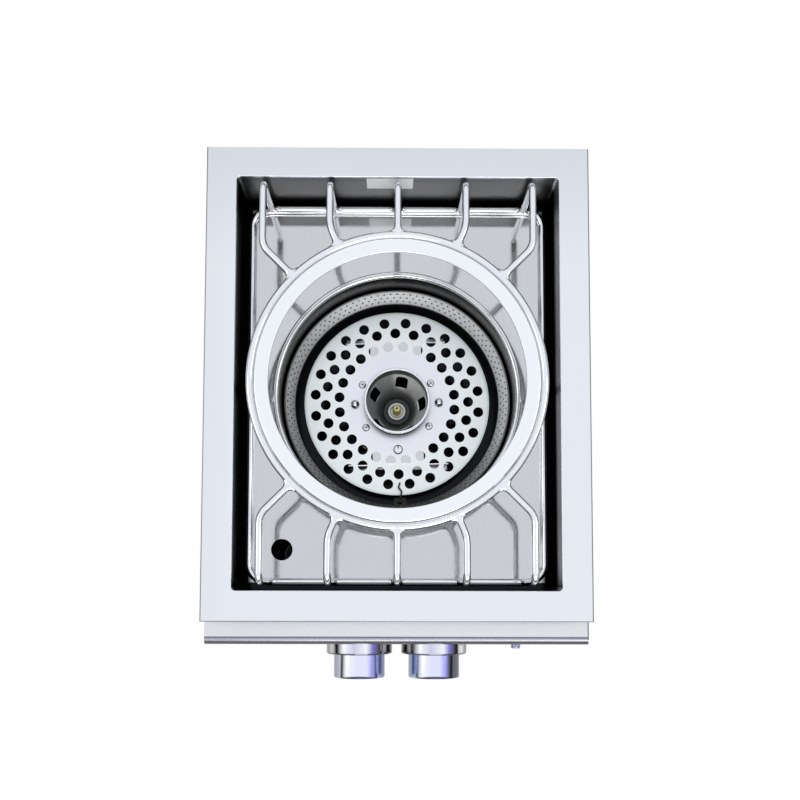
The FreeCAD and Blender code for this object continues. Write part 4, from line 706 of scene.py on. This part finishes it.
# pale underneath, painted shade inside the tray
base_finish = steel("base_steel", grey(0.66), (0.56, 0.56, 0.57), 0.36,
                    stretch=(0.03, 1, 1), fineness=500,
                    shades=[fade(UP, 0.0008, 0.0012, PAINTED_SHADE_BLACK)])
steel("pipe_steel", grey(0.62), (0.48, 0.48, 0.49), 0.40, stretch=(0.05, 1, 1),
      fineness=500)
# a bright rim, then painted shade: a darker band under it and a wall that darkens downwards
steel("bowl_steel", (0.86, 0.86, 0.87), (0.70, 0.70, 0.71), 0.13, 0.06,
      spun=True, fineness=1500, grain=0.000004,
      shades=[fade(UP, 0.1738, 0.1715, (0.13, 0.13, 0.135)),
              fade(UP, 0.160, 0.145, PAINTED_SHADE_BLACK)])
# painted shade: duller to the left and to the front, and dark on the inner wall and the
# outermost edge
steel("burner_steel", grey(0.96), grey(0.80), 0.30, 0.10,
      spun=True, fineness=1200, grain=0.000008, metal=0.30,
      shades=[fade(ACROSS, -0.06, -0.12, grey(0.50)),
              fade(ALONG, -0.03, -0.115, grey(0.13)),
              fade(UP, 0.1215, 0.1185, PAINTED_SHADE_BLACK),
              fade_round(0.1290, 0.1298, PAINTED_SHADE_BLACK)])
# the ports' pits are painted dark: painted shade in the holes
burner_inside_finish = steel("burner_ports", grey(0.10), grey(0.05), 0.5, fineness=900)
# the middle under the cup's flange, and painted shade on the rim
steel("disc_steel", (0.90, 0.93, 0.91), (0.84, 0.87, 0.85), 0.30, 0.06,
      stretch=(0.04, 1, 1), fineness=900, grain=0.000004, rub=0.0009,
      shades=[fade_round(0.070, 0.055, (0.86, 0.86, 0.90)),
              fade_round(0.1035, 0.1068, (0.60, 0.64, 0.62))])
# painted light and shade: a bright right side, the cup's low part, its dark collar and outer
# wall, a painted highlight on the bead on the collar, and the underside
steel("cup_steel", (0.42, 0.44, 0.45), (0.34, 0.36, 0.37), 0.26, 0.06,
      spun=True, fineness=1400, grain=0.000004, metal=0.38,
      shades=[fade((1, 0.4, 0), 0.004, 0.015, grey(1.0)),
              fade(UP, 0.092, 0.078, (0.20, 0.21, 0.21)),
              fade(UP, 0.1165, 0.1185, (0.05, 0.055, 0.055)),
              fade_round(0.0358, 0.0361, (0.02, 0.02, 0.025)),
              fade(UP, 0.1362, 0.1370, (0.95, 0.96, 0.98)),
              fade(UP, 0.0705, 0.0695, grey(0.05))])
# a painted highlight on a strap under the disc's front holes, and painted shade in front of it
steel("bracket_steel", grey(0.72), grey(0.64), 0.26,
      stretch=(0.04, 1, 1), fineness=700,
      shades=[fade(ALONG, -0.0690, -0.0700, grey(0.98)),
              fade(ALONG, -0.0728, -0.0738, PAINTED_SHADE_BLACK)])
screw_finish = steel("screw_steel", (0.90, 0.90, 0.91), (0.80, 0.80, 0.81), 0.24,
                     fineness=900)
# a near-black finish for painted shade: in screw recesses and round the feet of screws, pins
# and the peg
painted_shade_finish = steel("painted_shade_steel", grey(0.06), grey(0.03), 0.5, fineness=900)
dome_finish = steel("dome_steel", (0.80, 0.81, 0.84), (0.72, 0.73, 0.76), 0.20, 0.04,
                    fineness=700, grain=0.000003)
button_finish = steel("button_steel", (0.44, 0.44, 0.62), (0.34, 0.34, 0.50), 0.24,
                      fineness=900, grain=0.000004)
collar_finish = steel("collar_steel", (0.12, 0.12, 0.14), (0.07, 0.07, 0.09), 0.24,
                      fineness=900, grain=0.000004)
socket_finish = steel("socket_steel", (0.62, 0.65, 0.67), (0.50, 0.53, 0.55), 0.30,
                      spun=True, fineness=1400)
steel("electrode_steel", grey(0.07), grey(0.04), 0.42, fineness=900)
steel("grate_steel", (0.90, 0.91, 0.93), (0.85, 0.86, 0.88), 0.10, 0.04,
      fineness=300, grain=0.000008, smear=0.04)
steel("ring_steel", (0.97, 0.98, 0.98), (0.92, 0.93, 0.94), 0.20, 0.05,
      spun=True, fineness=700, grain=0.000003)
steel("brass", (0.80, 0.70, 0.34), (0.66, 0.54, 0.22), 0.30, fineness=800)
clip_finish = steel("clip_steel", grey(0.12), grey(0.07), 0.4, fineness=900)
# the jet's drilled hole and the edge round it are painted black, as shade
jet_finish = steel("jet_brass", (0.90, 0.86, 0.38), (0.78, 0.74, 0.28), 0.30, fineness=800,
                   metal=0.4, shades=[fade_round(0.0016, 0.0009, PAINTED_SHADE_BLACK)])

KNOB_X, KNOB_RADIUS, BEZEL_RADIUS = 0.0405, 0.0279, 0.0358


def knob_chrome(name, centre, mirrored):
    """A polished barrel, with painted reflections across its upper side, a painted dark
    reflection as a crescent along its front edge, and a plain face.
    """
    return steel(name, (0.80, 0.81, 0.84), (0.74, 0.75, 0.78), 0.14, 0.04, fineness=600,
                 grain=0.000002, smear=0.03, bands=(centre, KNOB_RADIUS, mirrored),
                 shades=[fade((0, 1, -0.25), -0.3548, -0.3560, (0.05, 0.06, 0.10)),
                         fade(ALONG, -0.30975, -0.30995, (0.74, 0.75, 0.78))])


def bezel_chrome(name, centre):
    """A polished bezel, with painted reflections across its upper side and painted shade along
    its front edge.
    """
    mirrored = [(0.02, grey(0.05)), (0.10, (0.60, 0.58, 0.58)),
                (0.16, (0.10, 0.08, 0.08)), (0.28, grey(1.0)),
                (0.44, (0.66, 0.64, 0.78)), (0.62, grey(1.0)),
                (0.71, (0.16, 0.14, 0.55)), (0.80, (0.06, 0.05, 0.05)),
                (0.90, grey(0.80)), (0.97, grey(0.03))]
    return steel(name, (0.84, 0.84, 0.85), (0.78, 0.78, 0.79), 0.07, 0.03, fineness=500,
                 grain=0.000002, smear=0.03, bands=(centre, BEZEL_RADIUS, mirrored),
                 shades=[fade(ALONG, -0.2822, -0.2834, (0.10, 0.10, 0.13))])


# painted reflections: the colours that each knob's upper side mirrors, from its left edge to
# its right
left_knob_finish = knob_chrome("left_knob_chrome", -KNOB_X, [
    (0.03, (0.20, 0.24, 0.32)), (0.12, (0.42, 0.46, 0.52)), (0.26, grey(1.0)),
    (0.48, (0.84, 0.84, 1.0)), (0.66, (0.86, 0.86, 1.0)), (0.74, (0.34, 0.33, 0.86)),
    (0.88, (0.42, 0.46, 0.72)), (0.97, (0.10, 0.14, 0.26))])
right_knob_finish = knob_chrome("right_knob_chrome", KNOB_X, [
    (0.03, (0.18, 0.24, 0.34)), (0.13, (0.50, 0.60, 0.80)), (0.28, grey(1.0)),
    (0.44, (0.82, 0.82, 1.0)), (0.60, (0.82, 0.82, 1.0)), (0.69, (0.36, 0.36, 0.92)),
    (0.78, (0.07, 0.08, 0.12)), (0.98, (0.04, 0.05, 0.06))])
left_bezel_finish = bezel_chrome("left_bezel_chrome", -KNOB_X)
right_bezel_finish = bezel_chrome("right_bezel_chrome", KNOB_X)

steel("valve_aluminium", (0.70, 0.70, 0.71), (0.58, 0.58, 0.59), 0.50, fineness=700,
      grain=0.00006)
steel("tube_aluminium", (0.74, 0.74, 0.75), (0.64, 0.64, 0.65), 0.38, fineness=500)
moulded("black_plastic", (0.035, 0.035, 0.036), 0.48)
moulded("ceramic", (0.86, 0.85, 0.81), 0.22, 0.00001, 500)
sooty_finish = moulded("sooty_ceramic", (0.09, 0.085, 0.08), 0.35, 0.00001, 500)
moulded("lead_rubber", grey(0.05), 0.6)
label_finish = moulded("bare_label", grey(0.95), 0.35, 0.00001, 500)
lit_plastic("light_ring", (0.34, 0.30, 1.0), 2.2)

FINISHES["knob_chrome"] = left_knob_finish  # the right knob is given its own
SLOT_OF_NODE = {part["node"]: part["material_slot"] for part in frame["record"]["subparts"]}
for name, node in nodes.items():
    node.data.materials.clear()
    node.data.materials.append(FINISHES[SLOT_OF_NODE[name]])
nodes["bottom_plate"].data.materials[0] = base_finish
nodes["electrode_ceramic"].data.materials[0] = sooty_finish
nodes["electrode_clip"].data.materials[0] = clip_finish


# ---------------------------------------------------------------- rod grate

PAN_TOP, RING_TOP = 0.172, 0.250
FRAME_X, FRAME_Y, FRAME_ROD = 0.161, 0.207, 0.004
FRAME_Z = PAN_TOP + 0.0003 + FRAME_ROD
RING_RADIUS, RING_ROD = 0.1515, 0.0041
RING_Z = RING_TOP - RING_ROD
FINGER, KNEE_BEND, FRAME_BEND = 0.0039, 0.009, 0.020
OUTER_X, MIDDLE_X = 0.140, 0.0707
WOK_LOW, WOK_HIGH, WOK_OUTER, WOK_INNER = 0.246, 0.249, 0.14665, 0.1324
FOOT_WELD = (FRAME_ROD, (1, 0, 0))
RING_WELD = (RING_ROD, (1, 1, 0))


def make_finger(name, x, way, bend_y, bend):
    """One finger rod: up from the frame, over the knee and in to the ring."""
    foot = (x, way * FRAME_Y, FRAME_Z)
    knee = (x, way * FRAME_Y, RING_Z)
    if bend_y is None:
        points = [foot, knee, (x, way * RING_RADIUS, RING_Z)]
        return drawn_rod(name, points, [KNEE_BEND], FINGER,
                         (FOOT_WELD, (RING_ROD, (1, 0, 0))))
    turn = Vector((x, way * bend_y, 0))
    end = turn * (RING_RADIUS / turn.length) + Vector((0, 0, RING_Z))
    points = [foot, knee, (x, way * bend_y, RING_Z), end]
    return drawn_rod(name, points, [KNEE_BEND, bend], FINGER, (FOOT_WELD, RING_WELD))


def make_grate():
    """Ten finger rods, the frame rod, two slanted posts and the rod ring. The plan gives
    each finger's place, where it turns towards the burner and how wide that bend is."""
    plan = [(-OUTER_X, 0.1395, 0.022), (-MIDDLE_X, 0.161, 0.042), (0, None, None),
            (MIDDLE_X, 0.161, 0.042), (OUTER_X, 0.1395, 0.022)]
    for node, way in (("rear_fingers", 1), ("front_fingers", -1)):
        rods = [make_finger(node, x, way, bend_y, bend) for x, bend_y, bend in plan]
        fit(weld_up(node + "_welded", rods), "grate", node)
    loop = [(0, -FRAME_Y, FRAME_Z), (FRAME_X, -FRAME_Y, FRAME_Z), (FRAME_X, FRAME_Y, FRAME_Z),
            (-FRAME_X, FRAME_Y, FRAME_Z), (-FRAME_X, -FRAME_Y, FRAME_Z),
            (0, -FRAME_Y, FRAME_Z)]
    rod = drawn_rod("frame_rod", loop, [FRAME_BEND] * 4, FRAME_ROD, steps=14)
    fit(rod, "grate", "grate_frame")
    posts = []
    for side in (-1, 1):
        ends = [(side * FRAME_X, 0, FRAME_Z), (side * RING_RADIUS, 0, RING_Z)]
        posts.append(drawn_rod("post", ends, [], FINGER,
                               ((FRAME_ROD, (0, 1, 0)), (RING_ROD, (0, 1, 0)))))
    fit(weld_up("side_posts_welded", posts), "grate", "side_posts")
    fit(make_ring_rod(), "grate", "grate_ring")


def make_ring_rod():
    """The rod ring, with the four lugs that carry the wok ring."""
    put_down()
    bpy.ops.mesh.primitive_torus_add(major_radius=RING_RADIUS, minor_radius=RING_ROD,
                                     major_segments=192, minor_segments=24,
                                     location=(0, 0, RING_Z))
    ring = bpy.context.object
    keep_place()
    reach, half_width, thickness, play = 0.009, 0.007, 0.003, 0.0003
    inner = RING_RADIUS - RING_ROD - reach
    high = WOK_LOW - play
    lug = block("lug", (inner, -half_width, high - thickness),
                (inner + reach + RING_ROD / 2, half_width, high))
    soften(lug, 0.0008)
    lugs = [copied(lug, turn=turn) for turn in (45, 135, 225, 315)]
    bpy.data.objects.remove(lug)
    piece = weld_up("ring_rod", [ring, *lugs])
    smooth_up_to(piece, 40)
    return piece


def make_wok_ring():
    start = (WOK_OUTER, WOK_LOW)
    ring = turned("wok_ring_plate", [start, (WOK_OUTER, WOK_HIGH), (WOK_INNER, WOK_HIGH),
                                     (WOK_INNER, WOK_LOW), start], 192)
    soften(ring, 0.0007, 3)
    tidy_shell(ring)
    fit(ring, "wok_support", "wok_ring")


make_grate()
make_wok_ring()


# ---------------------------------------------------------------- burner

PORT_ROWS = ((0.12526, 0.1332), (0.12265, 0.1285), (0.12005, 0.1237))
PORT_STEPS, PORT_SIZE, PORT_DEPTH, NEAR = 208, 0.00112, 0.0014, 0.0002


def reach_of(point):
    """How far a point lies from the burner's axis."""
    return math.hypot(point.x, point.y)


def port_place(point):
    """Whether a point of the band is the middle of a flame port; rows are staggered."""
    step = math.atan2(point.y, point.x) / (2 * math.pi / PORT_STEPS)
    for row, (radius, height) in enumerate(PORT_ROWS):
        if abs(reach_of(point) - radius) < NEAR and abs(point.z - height) < NEAR:
            return round(step) % 2 == row % 2
    return False


def make_ring_burner():
    """Hollow ring with a sloping band, and three staggered rows of ports pressed into it."""
    outer, inner, floor = 0.1298, 0.1178, 0.090
    band_top, band_foot = (0.1266, 0.1356), (0.1182, 0.1204)
    profile = [(outer, floor), (outer, 0.1325), (0.1293, 0.1344), (0.1282, 0.1356),
               (0.1269, 0.1360), band_top, PORT_ROWS[0], (0.12395, 0.13085), PORT_ROWS[1],
               (0.12135, 0.1261), PORT_ROWS[2], band_foot, (inner, 0.1190), (inner, floor),
               (outer, floor)]
    ring = turned("ring_burner_pressed", profile, PORT_STEPS)
    take_up(ring)
    bpy.ops.object.mode_set(mode="EDIT")
    pick(ring, "FACE", lambda face: band_foot[1] < face.center.z < band_top[1]
         and band_foot[0] - NEAR < reach_of(face.center) < band_top[0])
    bpy.ops.mesh.poke()
    pick(ring, "VERT", lambda point: port_place(point.co))
    bpy.ops.mesh.bevel(offset=PORT_SIZE, offset_type="OFFSET", segments=1, affect="VERTICES")
    pick(ring, "FACE", lambda face: len(face.vertices) >= 7 and face.area < 0.000006)
    bpy.ops.mesh.extrude_region_shrink_fatten(
        TRANSFORM_OT_shrink_fatten={"value": -PORT_DEPTH})
    bpy.ops.object.mode_set(mode="OBJECT")
    smooth_up_to(ring)
    fit(ring, "burner_box", "ring_burner")
    # the pits get the dark ports finish, as painted shade in the holes
    pits = set()
    for face in ring.data.polygons:
        if face.select and len(face.vertices) >= 7:
            pits.update(face.vertices)
    repaint(ring, burner_inside_finish, lambda face: pits.intersection(face.vertices))


make_ring_burner()

DISC_TOP = 0.121
DISC_TURN = 1.5
SCREW_RING, PIN_RING, PEG_Y = 0.0456, 0.0486, -0.054
CUP_TURN, CUP_SLOTS = 7, 5
CASING_X, CASING_SCREW_PITCH, CASING_SCREW_Z = 0.184, 0.190, 0.008


def turned_place(ring, angle):
    angle = math.radians(angle + DISC_TURN)
    return ring * math.cos(angle), ring * math.sin(angle)


def make_screw(name, shank):
    """A pan-head screw standing on z 0, with a cross recess; the recess and a ring round its
    foot are painted dark, as shade.
    """
    screw = turned(name, [
        (0.0020, -shank), (0.0020, 0.0), (0.0043, 0.0), (0.0043, 0.0003), (0.0038, 0.0004),
        (0.0038, 0.0011), (0.0034, 0.0017), (0.0026, 0.00205), (0.0014, 0.0022),
        (0, 0.0022)], 32)
    long, wide, floor, above = 0.0021, 0.00042, 0.0009, 0.0030
    carve(screw, block("cross", (-long, -wide, floor), (long, wide, above)),
          block("cross", (-wide, -long, floor), (wide, long, above)))
    tidy_shell(screw, 28)
    screw.data.materials.append(screw_finish)
    # the recess and the foot are painted dark, as shade
    repaint(screw, painted_shade_finish, lambda face: face.center.z < floor or (
        reach_of(face.center) < 0.0022 and face.center.z < 0.0019))
    return screw


def make_disc_screws():
    screw = make_screw("disc_screw", 0.0067)
    screws = []
    for angle in (30, 150, 217, 323):
        x, y = turned_place(SCREW_RING, angle)
        screws.append(copied(screw, (x, y, DISC_TOP), angle * 1.7))
    bpy.data.objects.remove(screw)
    fit(weld_up("disc_screws_set", screws), "burner_box", "disc_screws")


def make_casing_screws():
    screw = make_screw("casing_screw", 0.0070)
    screws = []
    for side in (-1, 1):
        for step in (-1, 0, 1):
            copy = copied(screw, turn=15 + 25 * step)
            settle(copy, (side * CASING_X, step * CASING_SCREW_PITCH, CASING_SCREW_Z),
                   (0, side * math.pi / 2, 0))
            screws.append(copy)
    bpy.data.objects.remove(screw)
    fit(weld_up("casing_screws_set", screws), "burner_box", "casing_screws")


def make_dome_pins():
    """Two domed pins, each with its foot painted dark as the shade of a groove round it, and a
    painted dark reflection on their inner front.
    """
    pins = []
    for angle in (0, 180):
        x, y = turned_place(PIN_RING, angle)
        pin = turned("dome_pin_turned", [
            (0.0020, -0.0037), (0.0020, 0.0), (0.0049, 0.0), (0.0049, 0.0022),
            (0.0047, 0.0036), (0.0042, 0.0049), (0.0034, 0.0060), (0.0024, 0.0068),
            (0.0012, 0.0072), (0, 0.00735)], 40)
        settle(pin, (x, y, DISC_TOP))
        pins.append(pin)
    piece = fit(weld_up("dome_pins_turned", pins), "burner_box", "dome_pins",
                finish=dome_finish)

    def is_dark(face):
        outward = face.normal.x * (1 if face.center.x > 0 else -1)
        # the foot is painted dark as shade, and the inner front as a painted dark reflection
        at_foot = face.center.z < DISC_TOP + 0.0024
        return at_foot or 0.25 * outward - face.normal.y > 0.72

    repaint(piece, painted_shade_finish, is_dark)


def make_peg():
    """The peg at the front of the disc: a bright slotted boss, its foot painted dark as the
    shade of a groove round it.
    """
    peg = turned("locating_peg_turned", [
        (0.0025, -0.0037), (0.0025, 0.0), (0.0054, 0.0), (0.0054, 0.0005), (0.0045, 0.0006),
        (0.0045, 0.0018), (0.0042, 0.0022), (0.0036, 0.0024), (0, 0.0024)], 48)
    carve(peg, block("slot", (-0.0007, 0.0010, 0.0012), (0.0007, 0.0060, 0.0030)))
    tidy_shell(peg, 28)
    x, y = turned_place(-PEG_Y, -90)
    settle(peg, (x, y, DISC_TOP))
    fit(peg, "burner_box", "locating_peg")
    # the foot is painted dark, as shade
    repaint(peg, painted_shade_finish, lambda face: face.center.z < DISC_TOP + 0.0015)


def make_cup_fittings():
    """The socket at the bottom of the cup and the drilled brass jet that stands in it."""
    socket = turned("orifice_socket_turned", [
        (0.0108, 0.0680), (0.0108, 0.0712), (0.0102, 0.0720), (0.0082, 0.0720),
        (0.0074, 0.0714), (0.0074, 0.0690), (0, 0.0690)], 64)
    fit(socket, "burner_box", "orifice_socket", finish=socket_finish)
    jet = turned("center_orifice_turned", [
        (0.0052, 0.0700), (0.0052, 0.0880), (0.0049, 0.0896), (0.0041, 0.0910),
        (0.0030, 0.0916), (0.0014, 0.0916), (0.0008, 0.0910), (0.0008, 0.0880),
        (0, 0.0880)], 48)
    fit(jet, "burner_box", "center_orifice", finish=jet_finish)


def make_center_cup():
    """The cup, with its five slots opened to their full height."""
    cup = clean_copy("center_cup")
    half_width, low, high = 0.0072, 0.0888, 0.1116
    slot = block("slot", (0.018, -half_width, low), (0.045, half_width, high))
    soften(slot, 0.004, 5)
    cutters = [copied(slot, turn=CUP_TURN + index * 360 / CUP_SLOTS)
               for index in range(CUP_SLOTS)]
    bpy.data.objects.remove(slot)
    carve(cup, *cutters)
    tidy_shell(cup, 30)
    even_shading(cup)
    fit(cup, "burner_box", "center_cup")


def make_electrode():
    """The spark wire: up from its ceramic, over the edge of the disc, with a hooked tip."""
    x, y, foot, bend, top = 0.004, -0.1117, 0.0751, 0.002, 0.1280
    points = [(x, y, foot), (x, y, top), (x + 0.0016, -0.1030, top),
              (x - 0.0022, -0.0985, 0.1275), (x - 0.0004, -0.0930, 0.1262)]
    wire = drawn_rod("electrode_wire_bent", points, [bend] * 3, 0.00098, segments=14, steps=5)
    fit(wire, "burner_box", "electrode_wire")


def make_gas_inlet():
    """Flare fitting: hexagon inside, shank through the rear panel, cut thread outside."""
    x, z = 0.155, 0.140
    start, inner, shank_end, end = 0.2201, 0.2291, 0.2361, 0.2486
    shank, root, crest, bore, pitch = 0.0087, 0.0072, 0.0079, 0.0048, 0.00141
    profile = [(shank, inner - 0.001), (shank, shank_end - 0.0004), (0.0083, shank_end)]
    place = shank_end
    while place + pitch < end - 0.0006:
        profile += [(root, place + 0.0003), (crest, place + 0.0009)]
        place += pitch
    profile += [(root, end - 0.0005), (0.0068, end), (0.0050, end), (bore, end - 0.0010),
                (bore, start + 0.002), (0, start + 0.002)]
    thread = turned("inlet_thread", profile, 64)
    settle(thread, (x, 0, z), (-math.pi / 2, 0, 0))
    put_down()
    bpy.ops.mesh.primitive_cylinder_add(vertices=6, radius=0.0127, depth=inner - start)
    hexagon = bpy.context.object
    settle(hexagon, turn=(0, 0, math.pi / 6))
    settle(hexagon, (x, (start + inner) / 2, z), (math.pi / 2, 0, 0))
    soften(hexagon, 0.0006)
    fit(weld_up("gas_inlet_threaded", [hexagon, thread]), "burner_box", "gas_inlet")


make_disc_screws()
make_casing_screws()
make_dome_pins()
make_peg()
make_cup_fittings()
make_center_cup()
make_electrode()
make_gas_inlet()


# ---------------------------------------------------------------- sheet and pressed pieces

for node, body, finish in (
        ("burner_bowl", "burner_box", None),
        ("left_knob", "left_control", left_knob_finish),
        ("right_knob", "right_control", right_knob_finish),
        ("left_bezel", "burner_box", left_bezel_finish),
        ("right_bezel", "burner_box", right_bezel_finish),
        ("left_light_ring", "burner_box", None),
        ("right_light_ring", "burner_box", None),
        ("push_button", "igniter_button", button_finish),
        ("button_collar", "burner_box", collar_finish),
        ("baffle_disc", "burner_box", None),
        ("control_panel", "burner_box", panel_finish)):
    fit(clean_copy(node), body, node, finish=finish)


def make_trim():
    """The trim with the edges of its opening and rim rounded, as a deburred sheet has them."""
    trim = clean_copy("top_trim")
    take_up(trim)
    edit_all()
    bpy.ops.mesh.dissolve_limited(angle_limit=math.radians(0.5))
    bpy.ops.object.mode_set(mode="OBJECT")
    soften(trim, 0.0006, 3, 60)
    smooth_up_to(trim)
    even_shading(trim)
    fit(trim, "burner_box", "top_trim")


def make_bare_label():
    """A small bare white label on the rear wall of the well."""
    label = block("bare_label", (-0.0330, 0.21575, 0.2120), (0.0162, 0.21598, 0.2362))
    soften(label, 0.0001, 1)
    fit(label, "burner_box", finish=label_finish, slot="ceramic")


make_trim()
make_bare_label()


# ---------------------------------------------------------------- floor, light and camera

FLOOR_GAP = 0.0005
CLOSE_TO_FLOOR = 0.004
SHOWN_WHITE = 0.975


def make_floor():
    """White floor that keeps the shadow. Where camera, glossy and transmission rays see it, it
    has painted shade: dark under the casing, where no light comes, and grey where the base is
    close above it. It is clear from below."""
    put_down()
    bpy.ops.mesh.primitive_plane_add(size=14, location=(0, 0, cad_low.z - FLOOR_GAP))
    floor = bpy.context.object
    floor.name = "floor"
    material = bpy.data.materials.new("floor_white")
    material.use_nodes = True
    tree = material.node_tree
    tree.nodes.clear()
    output = add_node(tree, "ShaderNodeOutputMaterial")
    paint = add_node(tree, "ShaderNodeBsdfDiffuse")
    paint.inputs["Color"].default_value = (0.85, 0.85, 0.86, 1)
    white = add_node(tree, "ShaderNodeEmission")
    place = add_node(tree, "ShaderNodeTexCoord").outputs["Object"]
    beyond = use_group(tree, MARGIN_SHADE, place, across=0.181, along=0.228,
                       fade=0.004)["Share"]
    path = add_node(tree, "ShaderNodeLightPath")
    close = reckon(tree, "LESS_THAN", path.outputs["Ray Length"], CLOSE_TO_FLOOR)
    # painted shade: near black under the casing, grey where the base is close above
    under = blend_colours(tree, close, (0.003, 0.003, 0.003, 1), (0.34, 0.34, 0.35, 1))
    feed(tree, white.inputs["Color"], blend_colours(tree, beyond, under, (1, 1, 1, 1)))
    seen = reckon(tree, "MAXIMUM", path.outputs["Is Camera Ray"],
                  reckon(tree, "MAXIMUM", path.outputs["Is Glossy Ray"],
                         path.outputs["Is Transmission Ray"]))
    above = mix_shaders(tree, times(tree, seen, SHOWN_WHITE), paint.outputs[0],
                        white.outputs[0])
    clear = add_node(tree, "ShaderNodeBsdfTransparent").outputs[0]
    below = add_node(tree, "ShaderNodeNewGeometry").outputs["Backfacing"]
    tree.links.new(mix_shaders(tree, below, above, clear), output.inputs["Surface"])
    floor.data.materials.append(material)


def make_world():
    """White where it is seen; a soft bright studio with a dark rim where it lights steel."""
    world = bpy.data.worlds.new("studio")
    bpy.context.scene.world = world
    world.use_nodes = True
    tree = world.node_tree
    tree.nodes.clear()
    output = add_node(tree, "ShaderNodeOutputWorld")
    place = add_node(tree, "ShaderNodeTexCoord").outputs["Generated"]
    height = split(tree, place)[2]
    studio = add_node(tree, "ShaderNodeBackground")
    feed(tree, studio.inputs["Color"], colour_ramp(tree, height, [
        (0.0, (0.10, 0.10, 0.11)), (0.06, (0.05, 0.05, 0.055)), (0.16, (0.06, 0.06, 0.065)),
        (0.30, (0.62, 0.63, 0.65)), (0.42, (0.84, 0.86, 0.90)), (0.86, (0.90, 0.93, 0.98)),
        (1.0, (0.91, 0.94, 1.0))]))
    white = add_node(tree, "ShaderNodeBackground")
    white.inputs["Color"].default_value = (1, 1, 1, 1)
    path = add_node(tree, "ShaderNodeLightPath")
    seen = reckon(tree, "MAXIMUM", path.outputs["Is Camera Ray"],
                  path.outputs["Is Transmission Ray"])
    shown = mix_shaders(tree, seen, studio.outputs[0], white.outputs[0])
    tree.links.new(shown, output.inputs["Surface"])


LAMP_AIM = Vector((0, 0, 0.2))


def make_lamp(name, place, size, power, colour):
    lamp = bpy.data.lights.new(name, "AREA")
    lamp.shape = "RECTANGLE"
    lamp.size, lamp.size_y = size
    lamp.energy = power
    lamp.color = colour
    holder = bpy.data.objects.new(name, lamp)
    bpy.context.scene.collection.objects.link(holder)
    holder.location = place
    aim = LAMP_AIM - Vector(place)
    holder.rotation_euler = aim.to_track_quat("-Z", "Y").to_euler()


def make_camera():
    lens = bpy.data.cameras.new("camera")
    lens.lens = 41.21
    lens.sensor_width = 36
    lens.shift_y = 0.1533
    camera = bpy.data.objects.new("camera", lens)
    camera.location = (-0.0046, -0.2097, 1.1720)
    camera.rotation_euler = [math.radians(angle) for angle in (3.868, -0.466, 0.114)]
    bpy.context.scene.collection.objects.link(camera)
    bpy.context.scene.camera = camera


make_floor()
make_world()
make_lamp("front_soft", (0.3, -2.0, 1.9), (1.8, 1.2), 24, (1, 1, 1))
make_lamp("left_soft", (-2.2, 0.1, 1.9), (1.0, 0.8), 5, (0.95, 0.97, 1.0))
make_lamp("right_soft", (2.2, 0.1, 1.9), (1.0, 0.8), 5, (1, 1, 1))
make_camera()
bpy.context.scene.view_settings.view_transform = "Standard"
